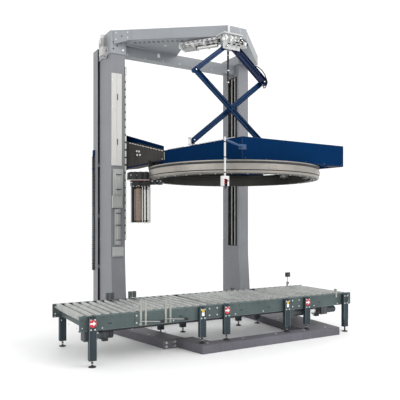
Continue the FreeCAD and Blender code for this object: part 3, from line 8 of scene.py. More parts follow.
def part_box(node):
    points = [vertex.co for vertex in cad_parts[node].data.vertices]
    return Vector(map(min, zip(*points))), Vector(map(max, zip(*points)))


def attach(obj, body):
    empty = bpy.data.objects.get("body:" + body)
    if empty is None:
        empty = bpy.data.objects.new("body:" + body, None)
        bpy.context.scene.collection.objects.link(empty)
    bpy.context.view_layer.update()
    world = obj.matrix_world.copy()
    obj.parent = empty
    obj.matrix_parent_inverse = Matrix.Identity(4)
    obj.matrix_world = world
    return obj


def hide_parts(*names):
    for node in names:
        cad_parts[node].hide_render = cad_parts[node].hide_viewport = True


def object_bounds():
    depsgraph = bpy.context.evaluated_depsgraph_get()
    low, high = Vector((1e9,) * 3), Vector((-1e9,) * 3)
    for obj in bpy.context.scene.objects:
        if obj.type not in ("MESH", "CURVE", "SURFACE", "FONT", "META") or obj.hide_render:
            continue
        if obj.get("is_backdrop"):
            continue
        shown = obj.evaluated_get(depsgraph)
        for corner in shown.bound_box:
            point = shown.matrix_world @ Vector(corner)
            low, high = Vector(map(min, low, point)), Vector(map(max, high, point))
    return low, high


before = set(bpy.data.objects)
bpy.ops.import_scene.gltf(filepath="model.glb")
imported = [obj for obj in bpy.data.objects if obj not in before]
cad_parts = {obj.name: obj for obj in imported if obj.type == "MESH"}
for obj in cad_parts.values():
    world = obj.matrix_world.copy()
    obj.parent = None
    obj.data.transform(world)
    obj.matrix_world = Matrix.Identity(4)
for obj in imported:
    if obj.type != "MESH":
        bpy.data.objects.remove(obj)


def write_size(key, sizes={}):
    low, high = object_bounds()
    sizes[key] = [list(low), list(high)]


write_size("frame")

# ---------------------------------------------------------------- places read from the frame
MM = 0.001
UP = Vector((0, 0, 1))
FRONT = Vector((0, -1, 0))
BACK = Vector((0, 1, 0))
LEFT = Vector((-1, 0, 0))


def low(node):
    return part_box(node)[0]


def high(node):
    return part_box(node)[1]


def centre(node):
    a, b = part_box(node)
    return (a + b) / 2


RING_AXIS = centre("ring")
RING_RADIUS = (high("ring").x - low("ring").x) / 2
COLUMNS = ("left_column", "right_column")


def at(x, y, z):
    """A place given in millimetres from the ring's axis on the floor."""
    return Vector((RING_AXIS.x + x * MM, RING_AXIS.y + y * MM, z * MM))


def off(base, dx=0, dy=0, dz=0):
    """A place that many millimetres from base."""
    return Vector(base) + Vector((dx, dy, dz)) * MM


def clusters(node, gap):
    """The X of the middle of each group of the node's points, groups being more than gap apart."""
    xs = sorted({round(v.co.x, 4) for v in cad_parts[node].data.vertices})
    cuts = [i for i in range(1, len(xs)) if xs[i] - xs[i - 1] > gap]
    return [(xs[i] + xs[j - 1]) / 2 for i, j in zip([0] + cuts, cuts + [len(xs)])]


# ---------------------------------------------------------------- node materials
class Nodes:
    """A new material and short calls to add and join its nodes."""

    def __init__(self, name):
        self.material = bpy.data.materials.new(name)
        self.material.use_nodes = True
        self.tree = self.material.node_tree
        self.shader = self.tree.nodes["Principled BSDF"]

    def add(self, kind, **settings):
        node = self.tree.nodes.new(kind)
        for key, value in settings.items():
            setattr(node, key, value)
        return node

    def join(self, source, target):
        self.tree.links.new(source, target)

    def place(self, scale=(1, 1, 1)):
        """Object coordinates, stretched by scale."""
        coordinates = self.add("ShaderNodeTexCoord")
        mapping = self.add("ShaderNodeMapping")
        mapping.inputs["Scale"].default_value = scale
        self.join(coordinates.outputs["Object"], mapping.inputs["Vector"])
        return mapping.outputs["Vector"]

    def noise(self, where, scale, detail=3.0, rough=0.55):
        node = self.add("ShaderNodeTexNoise")
        node.inputs["Scale"].default_value = scale
        node.inputs["Detail"].default_value = detail
        node.inputs["Roughness"].default_value = rough
        self.join(where, node.inputs["Vector"])
        return node.outputs["Fac"]

    def spread(self, value, from_min, from_max, to_min=0, to_max=1):
        node = self.add("ShaderNodeMapRange")
        keys = ("From Min", "From Max", "To Min", "To Max")
        for key, number in zip(keys, (from_min, from_max, to_min, to_max)):
            node.inputs[key].default_value = number
        self.join(value, node.inputs["Value"])
        return node.outputs["Result"]

    def multiply(self, a, b):
        node = self.add("ShaderNodeMath", operation="MULTIPLY")
        self.join(a, node.inputs[0])
        self.join(b, node.inputs[1])
        return node.outputs["Value"]

    def vector_math(self, operation, a, b=None, output="Vector"):
        node = self.add("ShaderNodeVectorMath", operation=operation)
        self.join(a, node.inputs[0])
        if b is not None:
            node.inputs[1].default_value = b
        return node.outputs[output]

    def mix(self, factor, a, b):
        """A colour between a and b, each a colour or another node's output."""
        node = self.add("ShaderNodeMix", data_type="RGBA")
        self.join(factor, node.inputs["Factor"])
        for key, colour in (("A", a), ("B", b)):
            socket = next(s for s in node.inputs if s.name == key and s.type == "RGBA")
            if isinstance(colour, tuple):
                socket.default_value = (*colour, 1)
            else:
                self.join(colour, socket)
        return next(s for s in node.outputs if s.type == "RGBA")

    def soft_edge(self, radius):
        """A normal that rounds sharp edges by radius."""
        node = self.add("ShaderNodeBevel", samples=4)
        node.inputs["Radius"].default_value = radius
        return node.outputs["Normal"]

    def edge_mask(self, soft):
        """1 on a sharp edge and 0 on a flat face, from the rounded normal."""
        geometry = self.add("ShaderNodeNewGeometry")
        dot = self.add("ShaderNodeVectorMath", operation="DOT_PRODUCT")
        self.join(soft, dot.inputs[0])
        self.join(geometry.outputs["Normal"], dot.inputs[1])
        return self.spread(dot.outputs["Value"], 0.995, 0.86)

    def bump(self, height, distance, normal=None, strength=1.0):
        node = self.add("ShaderNodeBump")
        node.inputs["Strength"].default_value = strength
        node.inputs["Distance"].default_value = distance
        self.join(height, node.inputs["Height"])
        if normal is not None:
            self.join(normal, node.inputs["Normal"])
        self.join(node.outputs["Normal"], self.shader.inputs["Normal"])

    def finish(self, colour, rough, **sockets):
        self.join(colour, self.shader.inputs["Base Color"])
        self.join(rough, self.shader.inputs["Roughness"])
        for key, value in sockets.items():
            self.shader.inputs[key.replace("_", " ")].default_value = value
        return self.material


def shade(colour, factor):
    return tuple(min(1.0, c * factor) for c in colour)


def painted_steel(name, colour, rough=0.42, worn_and_highlight=(0.5, 0.5, 0.51), gloss=0.3, mottle=0.1, dust=0.12):
    """Sprayed paint: faint clouding, orange peel, dust in streaks, and edges lightened as rubbed paint and as
    painted highlight.
    """
    n = Nodes(name)
    where = n.place()
    clouds = n.noise(where, 2.2, 4)
    streaks = n.noise(n.place((9, 9, 0.7)), 3.0, 3)
    peel = n.noise(where, 420.0, 2)
    scuffs = n.spread(n.noise(where, 38.0, 4, 0.7), 0.42, 0.62)
    base = n.mix(n.spread(clouds, 0.3, 0.7), shade(colour, 1 - mottle), shade(colour, 1 + mottle))
    dusty = n.mix(n.spread(streaks, 0.5, 0.8, 0, dust), base, shade(worn_and_highlight, 0.8))
    soft = n.soft_edge(3 * MM)
    # edges lightened towards the second colour: partly rubbed paint, partly painted highlight
    rubbed_and_highlit = n.spread(n.multiply(n.edge_mask(soft), scuffs), 0, 1, 0, 0.5)
    n.bump(peel, 0.25 * MM, soft, 0.35)
    n.shader.inputs["Specular IOR Level"].default_value = gloss
    return n.finish(n.mix(rubbed_and_highlit, dusty, worn_and_highlight), n.spread(clouds, 0.25, 0.75, rough - 0.06, rough + 0.1))


def zinc(name, colour, rough):
    """Hot-dip zinc: spangle cells of different greys with fine rolling scratches."""
    n = Nodes(name)
    where = n.place()
    cells = n.add("ShaderNodeTexVoronoi")
    cells.inputs["Scale"].default_value = 62.0
    n.join(where, cells.inputs["Vector"])
    grey = n.add("ShaderNodeRGBToBW")
    n.join(cells.outputs["Color"], grey.inputs["Color"])
    spangle = n.mix(n.spread(grey.outputs["Val"], 0.1, 0.9), shade(colour, 0.78), shade(colour, 1.14))
    dull = n.noise(where, 5.0, 4)
    scratches = n.noise(n.place((1, 60, 1)), 40.0, 2)
    soft = n.soft_edge(2 * MM)
    n.bump(scratches, 0.15 * MM, soft, 0.3)
    colour_out = n.mix(n.spread(dull, 0.45, 0.75, 0, 0.5), spangle, shade(colour, 0.6))
    return n.finish(colour_out, n.spread(dull, 0.3, 0.7, rough - 0.08, rough + 0.14), Metallic=0.85)


def brushed_metal(name, colour, rough, grain):
    """Metal with fine parallel lines; grain says how much the lines are squeezed along each axis."""
    n = Nodes(name)
    lines = n.noise(n.place(grain), 1.6, 4, 0.7)
    stains = n.noise(n.place(), 3.0, 4)
    soft = n.soft_edge(2 * MM)
    base = n.mix(n.spread(lines, 0.3, 0.7), shade(colour, 0.86), shade(colour, 1.1))
    stained = n.mix(n.spread(stains, 0.5, 0.8, 0, 0.35), base, shade(colour, 0.62))
    n.bump(lines, 0.2 * MM, soft, 0.35)
    return n.finish(stained, n.spread(lines, 0.2, 0.8, rough - 0.08, rough + 0.12), Metallic=1.0)


def grained(name, dark, pale, clouds, blend, rough, grain, depth, edge, strength=0.4, **sockets):
    """A material of two tones in clouds, with a fine grain depth deep over edges edge wide."""
    n = Nodes(name)
    where = n.place()
    fine = n.noise(where, *grain)
    patches = fine if clouds == grain else n.noise(where, *clouds)
    base = n.mix(n.spread(patches, *blend), dark, pale)
    n.bump(fine, depth * MM, n.soft_edge(edge * MM), strength)
    return n.finish(base, n.spread(patches, 0.3, 0.7, *rough), **sockets)


def oiled_chain(name):
    return grained(name, (0.05, 0.045, 0.04), (0.34, 0.33, 0.31), (60.0, 4), (0.35, 0.65), (0.25, 0.5),
                   (60.0, 4), 0.2, 1, Metallic=0.8)


def rubber(name, colour=(0.022, 0.022, 0.024)):
    return grained(name, colour, shade(colour, 3.2), (12.0, 4), (0.45, 0.75, 0, 0.5), (0.7, 0.86),
                   (260.0, 3), 0.3, 2, 0.5)


def moulded_plastic(name, colour, rough=0.45):
    return grained(name, shade(colour, 0.88), shade(colour, 1.12), (14.0, 3), (0.3, 0.7),
                   (rough - 0.07, rough + 0.09), (520.0, 2), 0.15, 1.5)


def stretch_film(name, colour):
    """Wound film: many thin layers with painted sheen in upright bands, and pale edges of single layers."""
    n = Nodes(name)
    bands = n.noise(n.place((34, 34, 1.2)), 2.4, 4, 0.6)
    layers = n.noise(n.place((4, 4, 90)), 2.0, 3)
    # painted sheen: the colour runs from dark to light in upright bands
    base = n.mix(n.spread(bands, 0.32, 0.68), shade(colour, 0.66), shade(colour, 1.7))
    edged = n.mix(n.spread(layers, 0.56, 0.74, 0, 0.3), base, (0.5, 0.42, 0.36))
    n.bump(bands, 1.2 * MM, n.soft_edge(1 * MM), 0.3)
    return n.finish(edged, n.spread(layers, 0.3, 0.7, 0.14, 0.3), Coat_Weight=0.8, Coat_Roughness=0.08)


def sign_paint(name, colour):
    """Printed plastic film with fine scratches and a dulled face."""
    n = Nodes(name)
    where = n.place()
    scratch = n.spread(n.noise(n.place((80, 8, 40)), 4.0, 4, 0.7), 0.6, 0.75, 0, 0.25)
    base = n.mix(scratch, colour, shade(colour, 0.6))
    clouds = n.noise(where, 30.0, 3)
    n.bump(clouds, 0.1 * MM, n.soft_edge(0.5 * MM), 0.3)
    return n.finish(base, n.spread(clouds, 0.3, 0.7, 0.3, 0.45), Coat_Weight=0.4, Coat_Roughness=0.2)


def lens_glass(name):
    n = Nodes(name)
    where = n.place()
    facets = n.add("ShaderNodeTexVoronoi")
    facets.inputs["Scale"].default_value = 700.0
    n.join(where, facets.inputs["Vector"])
    base = n.mix(n.spread(facets.outputs["Distance"], 0, 0.5), (0.5, 0.02, 0.02), (0.14, 0.005, 0.008))
    n.bump(facets.outputs["Distance"], 0.4 * MM, None, 0.4)
    return n.finish(base, n.spread(facets.outputs["Distance"], 0, 0.6, 0.08, 0.2), Coat_Weight=0.9)


def ring_finish(name, colour, underside_shade, inner_radius, underside_z):
    """Brushed band outside; inside that radius and below that height a dark, dull colour painted as shade on
    the inner wall and underside.
    """
    n = Nodes(name)
    lines = n.noise(n.place((3, 3, 260)), 1.6, 4, 0.7)
    stains = n.noise(n.place(), 2.4, 4)
    band = n.mix(n.spread(lines, 0.3, 0.7), shade(colour, 0.8), shade(colour, 1.15))
    band = n.mix(n.spread(stains, 0.42, 0.75, 0, 0.55), band, shade(colour, 0.5))
    # painted shade: inside the radius and below the height the ring turns dark and loses its metal gloss
    object_place = n.add("ShaderNodeTexCoord")
    centred = n.vector_math("SUBTRACT", object_place.outputs["Object"], (RING_AXIS.x, RING_AXIS.y, 0))
    reach = n.vector_math("LENGTH", n.vector_math("MULTIPLY", centred, (1, 1, 0)), output="Value")
    inside = n.spread(reach, inner_radius, inner_radius + 1 * MM, 1, 0)
    parts = n.add("ShaderNodeSeparateXYZ")
    n.join(object_place.outputs["Object"], parts.inputs["Vector"])
    below = n.spread(parts.outputs["Z"], underside_z, underside_z + 1 * MM, 1, 0)
    either = n.add("ShaderNodeMath", operation="MAXIMUM")
    n.join(inside, either.inputs[0])
    n.join(below, either.inputs[1])
    shade_mask = either.outputs["Value"]
    dark = n.mix(n.spread(stains, 0.3, 0.7), shade(underside_shade, 0.7), shade(underside_shade, 1.5))
    n.bump(lines, 0.2 * MM, n.soft_edge(2 * MM), 0.35)
    n.join(n.spread(shade_mask, 0, 1, 0.95, 0.1), n.shader.inputs["Metallic"])
    return n.finish(n.mix(shade_mask, band, dark), n.spread(lines, 0.2, 0.8, 0.26, 0.46))


FINISHES = {
    "column_paint": painted_steel("column_paint", (0.208, 0.216, 0.232), 0.45, mottle=0.1),
    "cover_beige": painted_steel("cover_beige", (0.58, 0.575, 0.55), 0.5, mottle=0.05),
    "box_grey": painted_steel("box_grey", (0.4, 0.415, 0.4), 0.45, mottle=0.08),
    "carriage_blue": painted_steel("carriage_blue", (0.0, 0.02, 0.075),
                                   0.66, (0.06, 0.12, 0.2), 0.03, 0.1, 0.02),
    "arm_grey": painted_steel("arm_grey", (0.046, 0.044, 0.04), 0.6, (0.3, 0.29, 0.28), 0.15, 0.2, 0.06),
    "press_blue": painted_steel("press_blue", (0.0015, 0.03, 0.1), 0.5, (0.14, 0.2, 0.36), 0.1, 0.16, 0.06),
    "conveyor_green": painted_steel("conveyor_green", (0.074, 0.099, 0.1),
                                    0.48, (0.3, 0.34, 0.34), 0.25, 0.2, 0.08),
    "base_paint": painted_steel("base_paint", (0.12, 0.115, 0.135), 0.5, (0.38, 0.38, 0.41), 0.25, 0.16),
    "zinc_steel": zinc("zinc_steel", (0.39, 0.405, 0.39), 0.32),
    # the second colour is the painted shade for the ring's inner wall and underside
    "ring_metal": ring_finish("ring_metal", (0.35, 0.33, 0.3), (0.022, 0.021, 0.017), RING_RADIUS - 0.1,
                              low("ring").z + 6 * MM),
    "dark_steel": painted_steel("dark_steel", (0.022, 0.022, 0.025),
                                0.45, (0.25, 0.25, 0.25), 0.25, 0.25, 0.05),
    "chain_steel": oiled_chain("chain_steel"),
    "motor_paint": painted_steel("motor_paint", (0.05, 0.058, 0.064), 0.5, mottle=0.15),
    "drive_rubber": rubber("drive_rubber"),
    "film": stretch_film("film", (0.14, 0.09, 0.062)),
    "sensor_black": moulded_plastic("sensor_black", (0.02, 0.02, 0.022)),
    "roller_alu": brushed_metal("roller_alu", (0.62, 0.62, 0.61), 0.24, (90, 90, 3)),
}
OWN_FINISH = {
    "conveyor_legs": painted_steel("leg_paint", (0.026, 0.04, 0.05),
                                   0.48, (0.3, 0.36, 0.38), 0.25, 0.2, 0.06),
    "press_upper_arm_right": painted_steel("arm_navy", (0.002, 0.008, 0.04),
                                           0.5, (0.08, 0.1, 0.18), 0.15, 0.2),
    "rail_edge": painted_steel("rail_edge", (0.13, 0.17, 0.175), 0.4, (0.4, 0.44, 0.44), 0.3, 0.2),
    "cover_edge": painted_steel("cover_edge", (0.03, 0.07, 0.16), 0.4, (0.2, 0.28, 0.4), 0.3, 0.2),
    "photocells": painted_steel("bracket_pale", (0.3, 0.31, 0.28), 0.4, mottle=0.1),
    "lift_gearmotor": painted_steel("gear_pale", (0.5, 0.5, 0.49), 0.4, mottle=0.12),
    "press_bracket": painted_steel("hanger_pale", (0.5, 0.51, 0.51), 0.4, mottle=0.1),
    "press_upper_arm_left": painted_steel("arm_violet", (0.008, 0.042, 0.14),
                                          0.45, (0.2, 0.25, 0.4), 0.2, 0.16),
}
OWN_FINISH["load_photocell"] = OWN_FINISH["cover_edge"]
BEAM_PAINT = painted_steel("beam_paint", (0.28, 0.298, 0.316), 0.42, mottle=0.06)
for beam in ("top_left_beam", "top_front_beam", "top_right_beam", "top_rear_beam", "top_gusset_plate",
             "column_heads"):
    OWN_FINISH[beam] = BEAM_PAINT
BRIGHT = brushed_metal("bright_zinc", (0.62, 0.62, 0.6), 0.3, (60, 60, 60))
WHITE = painted_steel("white_paint", (0.62, 0.62, 0.62), 0.45, mottle=0.04)
BLACK = FINISHES["dark_steel"]
SIGN_RED = sign_paint("sign_red", (0.5, 0.008, 0.02))
SIGN_WHITE = sign_paint("sign_white", (0.8, 0.8, 0.79))
SIGN_YELLOW = sign_paint("sign_yellow", (0.6, 0.42, 0.02))
BUTTON_BLUE = moulded_plastic("button_blue", (0.01, 0.02, 0.14), 0.3)
LENS = lens_glass("lens")
CARDBOARD = moulded_plastic("cardboard", (0.36, 0.25, 0.15), 0.85)
# dark olive paint; the plate under the ring uses it as painted shade
OLIVE = painted_steel("ring_underside", (0.03, 0.029, 0.022), 0.55, (0.2, 0.2, 0.18), 0.2, 0.3)
SHADOW = rubber("opening_shadow", (0.008, 0.008, 0.009))


def dress_nodes():
    """Puts each CAD node's own finish on it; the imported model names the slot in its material."""
    for name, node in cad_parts.items():
        slots = node.data.materials
        for i, old in enumerate(slots):
            slots[i] = OWN_FINISH.get(name) or FINISHES[old.name.split(".")[0]]


# ---------------------------------------------------------------- mesh code
def turn_to(direction):
    """The turn that lays Z along direction."""
    return UP.rotation_difference(direction.normalized()).to_matrix().to_4x4()


def look(finish):
    """A material, given as itself or by its name."""
    if isinstance(finish, str):
        return FINISHES.get(finish) or OWN_FINISH[finish]
    return finish


def show(name, data):
    """A new object in the scene."""
    made = bpy.data.objects.new(name, data)
    bpy.context.scene.collection.objects.link(made)
    return made


def circle(radius, sides):
    """The points of a circle about the origin, as (x, y)."""
    return [(radius * math.cos(2 * math.pi * i / sides), radius * math.sin(2 * math.pi * i / sides))
            for i in range(sides)]


class Piece:
    """One mesh made of many small shapes, each with one of its materials.

    Places are in metres; radii, widths, depths and thicknesses are in millimetres.
    """

    def __init__(self, *materials):
        self.mesh = bmesh.new()
        self.materials = [look(material) for material in materials]

    def _paint(self, made, slot):
        for face in {f for v in made["verts"] for f in v.link_faces}:
            face.material_index = slot

    def _cube(self, middle, turn, size, slot):
        place = Matrix.Translation(middle) @ turn @ Matrix.Diagonal((*size, 1))
        self._paint(bmesh.ops.create_cube(self.mesh, size=1.0, matrix=place), slot)

    def block(self, a, b, slot=0):
        """A box between two corners."""
        a, b = Vector(a), Vector(b)
        self._cube((a + b) / 2, Matrix(), b - a, slot)

    def bar(self, p, q, width, depth, slot=0, side=UP):
        """A flat bar from p to q, with its depth along side."""
        p, q = Vector(p), Vector(q)
        along = (q - p).normalized()
        across = along.cross(side).normalized()
        turn = Matrix((across, along, across.cross(along))).transposed().to_4x4()
        self._cube((p + q) / 2, turn, (width * MM, (q - p).length, depth * MM), slot)

    def rod(self, p, q, radius, slot=0, sides=24, end_radius=None):
        """A round rod, or a cone where its end has another radius."""
        p, q = Vector(p), Vector(q)
        end_radius = radius if end_radius is None else end_radius
        place = Matrix.Translation((p + q) / 2) @ turn_to(q - p)
        made = bmesh.ops.create_cone(self.mesh, cap_ends=True, segments=sides, radius1=radius * MM,
                                     radius2=end_radius * MM, depth=(q - p).length, matrix=place)
        self._paint(made, slot)

    def bolt(self, p, direction, slot=0, radius=11, height=8):
        """A washer with a hexagon head on it."""
        p, d = Vector(p), Vector(direction).normalized() * height * MM
        self.rod(p, p + d * 0.3, radius * 1.5, slot, 16)
        self.rod(p + d * 0.3, p + d * 1.3, radius, slot, 6)

    def _face(self, corners, slot):
        self.mesh.faces.new(corners).material_index = slot

    def _loft(self, rings, slot):
        """Faces between each ring of points and the next, and between the last and the first."""
        for here, there in zip(rings, rings[1:] + rings[:1]):
            for i in range(len(here)):
                self._face((here[i - 1], here[i], there[i], there[i - 1]), slot)

    def tube(self, p, q, radius, inner, slot=0, sides=32):
        """An open tube with a wall."""
        p, q = Vector(p), Vector(q)
        turn = turn_to(q - p)
        self._loft([[self.mesh.verts.new(end + turn @ Vector((x, y, 0))) for x, y in circle(r * MM, sides)]
                    for end, r in ((p, radius), (q, radius), (q, inner), (p, inner))], slot)

    def outline(self, points, thickness, place, slot=0):
        """A flat outline of (x, y) points, made thick along its own Z and put in place."""
        bottom, top = ([self.mesh.verts.new(place @ Vector((x, y, z))) for x, y in points]
                       for z in (0, thickness * MM))
        self._face(bottom[::-1], slot)
        self._face(top, slot)
        for i in range(len(points)):
            self._face((bottom[i - 1], bottom[i], top[i], top[i - 1]), slot)

    def patch(self, wall, a, b, thickness, slot=0):
        """A rectangle between two (along, height) corners on an upright wall."""
        self.outline([a, (b[0], a[1]), b, (a[0], b[1])], thickness, wall, slot)

    def wall_bolt(self, wall, along, height, *bolt, out=0):
        """A bolt on an upright wall, out millimetres off it."""
        self.bolt(wall @ Vector((along, height, out * MM)), wall.to_3x3() @ UP, *bolt)

    def lathe(self, profile, axis, sides=96, slot=0):
        """A closed (radius, z) profile turned about the upright line through axis."""
        self._loft([[self.mesh.verts.new((axis.x + r * x, axis.y + r * y, z)) for r, z in profile]
                    for x, y in circle(1, sides)], slot)

    def hoop(self, axis, inner, outer, z0, z1, sides, slot=0):
        """A flat-sided band about the upright line through axis."""
        self.lathe([(inner, z0), (outer, z0), (outer, z1), (inner, z1)], axis, sides, slot)

    def finish(self, name, body, slot_name, bevel=1.2):
        """Makes the object, softens its edges and hangs it on its body."""
        bmesh.ops.recalc_face_normals(self.mesh, faces=self.mesh.faces)
        data = bpy.data.meshes.new(name)
        self.mesh.to_mesh(data)
        self.mesh.free()
        for material in self.materials:
            data.materials.append(material)
        made = show(name, data)
        data.shade_smooth()
        data.set_sharp_from_angle(angle=math.radians(35))
        edge = made.modifiers.new("edges", "BEVEL")
        edge.width = bevel * MM
        edge.segments = 2
        edge.limit_method = "ANGLE"
        edge.angle_limit = math.radians(50)
        edge.harden_normals = True
        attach(made, body)
        return made


def spaced(start, end, pitch):
    """Places from start to end, evenly spaced about pitch apart, both ends included."""
    count = max(1, round((end - start) / pitch))
    return [start + (end - start) * i / count for i in range(count + 1)]


# ---------------------------------------------------------------- columns
def column_bolts():
    """Bolt clusters above the flared feet and rows of screws along the columns' edges."""
    piece = Piece(BRIGHT, BLACK)
    for name in COLUMNS:
        a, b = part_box(name)
        face = column_front()
        for dx in (0.25, 0.75):
            for z in (0.42, 0.5):
                x = a.x + 55 * MM + (b.x - a.x - 110 * MM) * dx
                piece.bolt((x, flare_y(z), z), FRONT + 0.08 * UP, 1, 14, 10)
        for dy in (0.3, 0.42):
            for z in (0.36, 0.43, 0.5):
                y = face + (b.y - face) * dy
                piece.bolt((a.x + 55 * MM, y, z), LEFT, 1, 14, 10)
        for z in spaced(1.0, 4.5, 0.5):
            piece.bolt(off((a.x, b.y, z), 55, -55), LEFT, 0, 7, 5)
    piece.finish("column_bolts", "frame", "zinc_steel")


def column_front():
    """The Y of the columns' front face: the foot plate and the flare reach further."""
    return low("column_heads").y + 15 * MM


def flare_y(z):
    """The Y of the flared foot's sloping face at height z."""
    foot_z, top_z, reach = 0.145, 1.224, 0.085
    return column_front() - reach * (top_z - z) / (top_z - foot_z)


def rear_duct_trim():
    """Screws and joint straps on the cable duct behind the left column."""
    a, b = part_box("left_column_rear_cover")
    piece = Piece(BRIGHT, "column_paint")
    for z in spaced(a.z + 0.08, b.z - 0.08, 0.42):
        piece.bolt((a.x, (a.y + b.y) / 2, z), LEFT, 0, 6, 4)
        piece.bolt(((a.x + b.x) / 2, b.y, z), BACK, 0, 6, 4)
    for z in (a.z + 0.9, a.z + 1.8, a.z + 2.7):
        piece.block(off((a.x, a.y, z), -2, 4, -25), off((b.x, b.y, z), 2, 2, 25), 1)
    piece.finish("rear_duct_trim", "frame", "column_paint")


def guide_strip():
    """The perforated pale strip and its clip beside the left column's cover."""
    cover = high("left_column_cover")
    x0 = high("left_column").x - 63 * MM
    face = column_front()
    piece = Piece("cover_beige", BLACK)
    bottom, top = 1.5, cover.z
    piece.block(off((x0, face, bottom), 4, -10), (x0 + 24 * MM, face, top), 1)
    for z in spaced(bottom + 0.06, top - 0.06, 0.128):
        piece.block((x0, face - 16 * MM, z - 0.05), off((x0, face, z + 0.05), 28, -10))
    clip_z = top + 0.13
    for x in (x0, x0 + 22 * MM):
        piece.block((x, face - 12 * MM, top - 0.02), (x + 6 * MM, face, clip_z), 1)
    piece.block(off((x0, face, clip_z), 0, -12, -8), (x0 + 28 * MM, face, clip_z), 1)
    piece.finish("guide_strip", "frame", "cover_beige")


def cover_trim():
    """Hinges, locks and the handles of the covers on the left column."""
    a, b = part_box("left_column_cover")
    piece = Piece(BRIGHT, "sensor_black")
    for z in spaced(a.z + 0.12, b.z - 0.12, 0.44):
        piece.rod((a.x + 14 * MM, a.y, z), off((a.x, a.y, z), 14, -4), 8, 0, 16)
        piece.rod((b.x - 14 * MM, a.y, z), off((b.x, a.y, z), -14, -4), 8, 0, 16)
    for z in (a.z + 0.4, b.z - 0.4):
        piece.block(off((a.x, a.y, z - 0.05), 96, -9), (a.x + 108 * MM, a.y, z + 0.05), 1)
    piece.finish("cover_trim", "frame", "zinc_steel")


def box_details():
    """Lids, cable glands and screws on the small boxes of the left column."""
    piece = Piece("box_grey", BRIGHT, "sensor_black")
    lids = ((2.28, 2.68, 0.030, 0.060), (2.07, 2.24, 0.012, 0.066), (1.75, 2.01, 0.060, 0.100),
            (1.45, 1.71, 0.060, 0.100), (1.245, 1.375, 0.020, 0.040))
    column = low("left_column").x + 55 * MM
    inner = high("left_column").x - 55 * MM
    depths = (0.055, 0.060, 0.048, 0.048, 0.040)
    face = column_front()
    for (z0, z1, left, right), depth in zip(lids, depths):
        x0, x1 = column + left + 8 * MM, inner - right - 8 * MM
        piece.block((x0, face - depth - 5 * MM, z0), (x1, face - depth, z1))
        for x in (x0 + 9 * MM, x1 - 9 * MM):
            for z in (z0 + 12 * MM, z1 - 12 * MM):
                piece.rod((x, face - depth - 5 * MM, z), (x, face - depth - 8 * MM, z), 5, 1, 12)
        for dx in (0.3, 0.55, 0.8):
            x = x0 + (x1 - x0) * dx
            piece.rod((x, face - depth * 0.5, z0 - 8 * MM), (x, face - depth * 0.5, z0 - 24 * MM), 8, 2, 12)
    for x, z0, z1 in ((0.085, 1.43, 2.03), (0.105, 1.43, 2.03), (0.125, 1.43, 2.26), (0.075, 2.27, 2.69),
                      (0.15, 2.27, 2.69)):
        wire_y, dark = face - 66 * MM, x < 0.1
        piece.rod((column + x, wire_y, z0), (column + x, wire_y, z1), 5, 1 if dark else 0, 12)
    for z in (1.5, 1.75, 1.95, 2.35, 2.6):
        piece.block((column + 0.065, face - 72 * MM, z), off((column + 0.16, face, z), 0, -60, 14), 2)
    piece.finish("box_details", "frame", "box_grey")


CHAIN_PITCH = 38.1 * MM


def roller_chains():
    """The lift chains link by link, in place of their plain runs."""
    a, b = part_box("lift_chains")
    piece = Piece("chain_steel", BLACK)
    half, thick = 10 * MM, 12 * MM
    for x in (a.x + half, b.x - half):
        for y in (a.y + thick / 2, b.y - thick / 2):
            for i in range(int((b.z - a.z) / CHAIN_PITCH)):
                z = a.z + (i + 0.5) * CHAIN_PITCH
                out = 8 * MM if i % 2 else 5 * MM
                for plate in (x - out, x + out):
                    piece.block(off((plate, y, z - CHAIN_PITCH * 0.62), -1.2, -5.6),
                                off((plate, y, z + CHAIN_PITCH * 0.62), 1.2, 5.6))
                pin = Vector((x, y, z + CHAIN_PITCH / 2))
                piece.rod(off(pin, -9.5), off(pin, 9.5), 4, 1, 8)
    made = piece.finish("roller_chains", "frame", "chain_steel", 0.4)
    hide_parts(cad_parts["lift_chains"].name)


def motor_fins(piece, p, q, radius, slot, cap_slot):
    """Cooling fins round a motor from p to q and a domed fan cowl with slots on its end."""
    p, q = Vector(p), Vector(q)
    along = (q - p).normalized()
    turn = turn_to(along)
    start, end = p + along * 20 * MM, q - along * 65 * MM
    for i in range(24):
        angle = 2 * math.pi * i / 24
        out = turn @ Vector((math.cos(angle), math.sin(angle), 0))
        reach = out * (radius + 2) * MM
        piece.bar(start + reach, end + reach, 3, 9, slot, out)
    piece.rod(q - along * 60 * MM, q - along * 4 * MM, radius + 4, cap_slot, 40)
    piece.rod(q - along * 4 * MM, q + along * 3 * MM, radius + 3, cap_slot, 40, radius * 0.8)
    for k in range(1, 4):
        slit = radius * 0.2 * k
        piece.tube(q + along * 2 * MM, q + along * 5 * MM, slit + 2, slit, cap_slot, 24)


def motors():
    """Fins, cowl, terminal box and bolts of the lift motor."""
    piece = Piece("lift_gearmotor", WHITE, BRIGHT)
    b = high("lift_gearmotor")
    shaft = centre("lift_sprocket_left")
    motor_x = b.x - (18 + 38) * MM
    motor_y = shaft.y + 10 * MM
    motor_fins(piece, (motor_x, motor_y, shaft.z + 70 * MM), (motor_x, motor_y, b.z), 34, 0, 1)
    cap = (motor_x, motor_y, b.z)
    piece.block(off(cap, -62, -30, -160), off(cap, -34, 30, -90), 1)
    for i in range(8):
        t = math.radians(45 * i + 22)
        flange = (b.x, shaft.y, shaft.z)
        piece.bolt(off(flange, -18, 90 * math.cos(t), 90 * math.sin(t)), LEFT, 2, 7)
    piece.finish("lift_motor_details", "frame", "motor_paint")


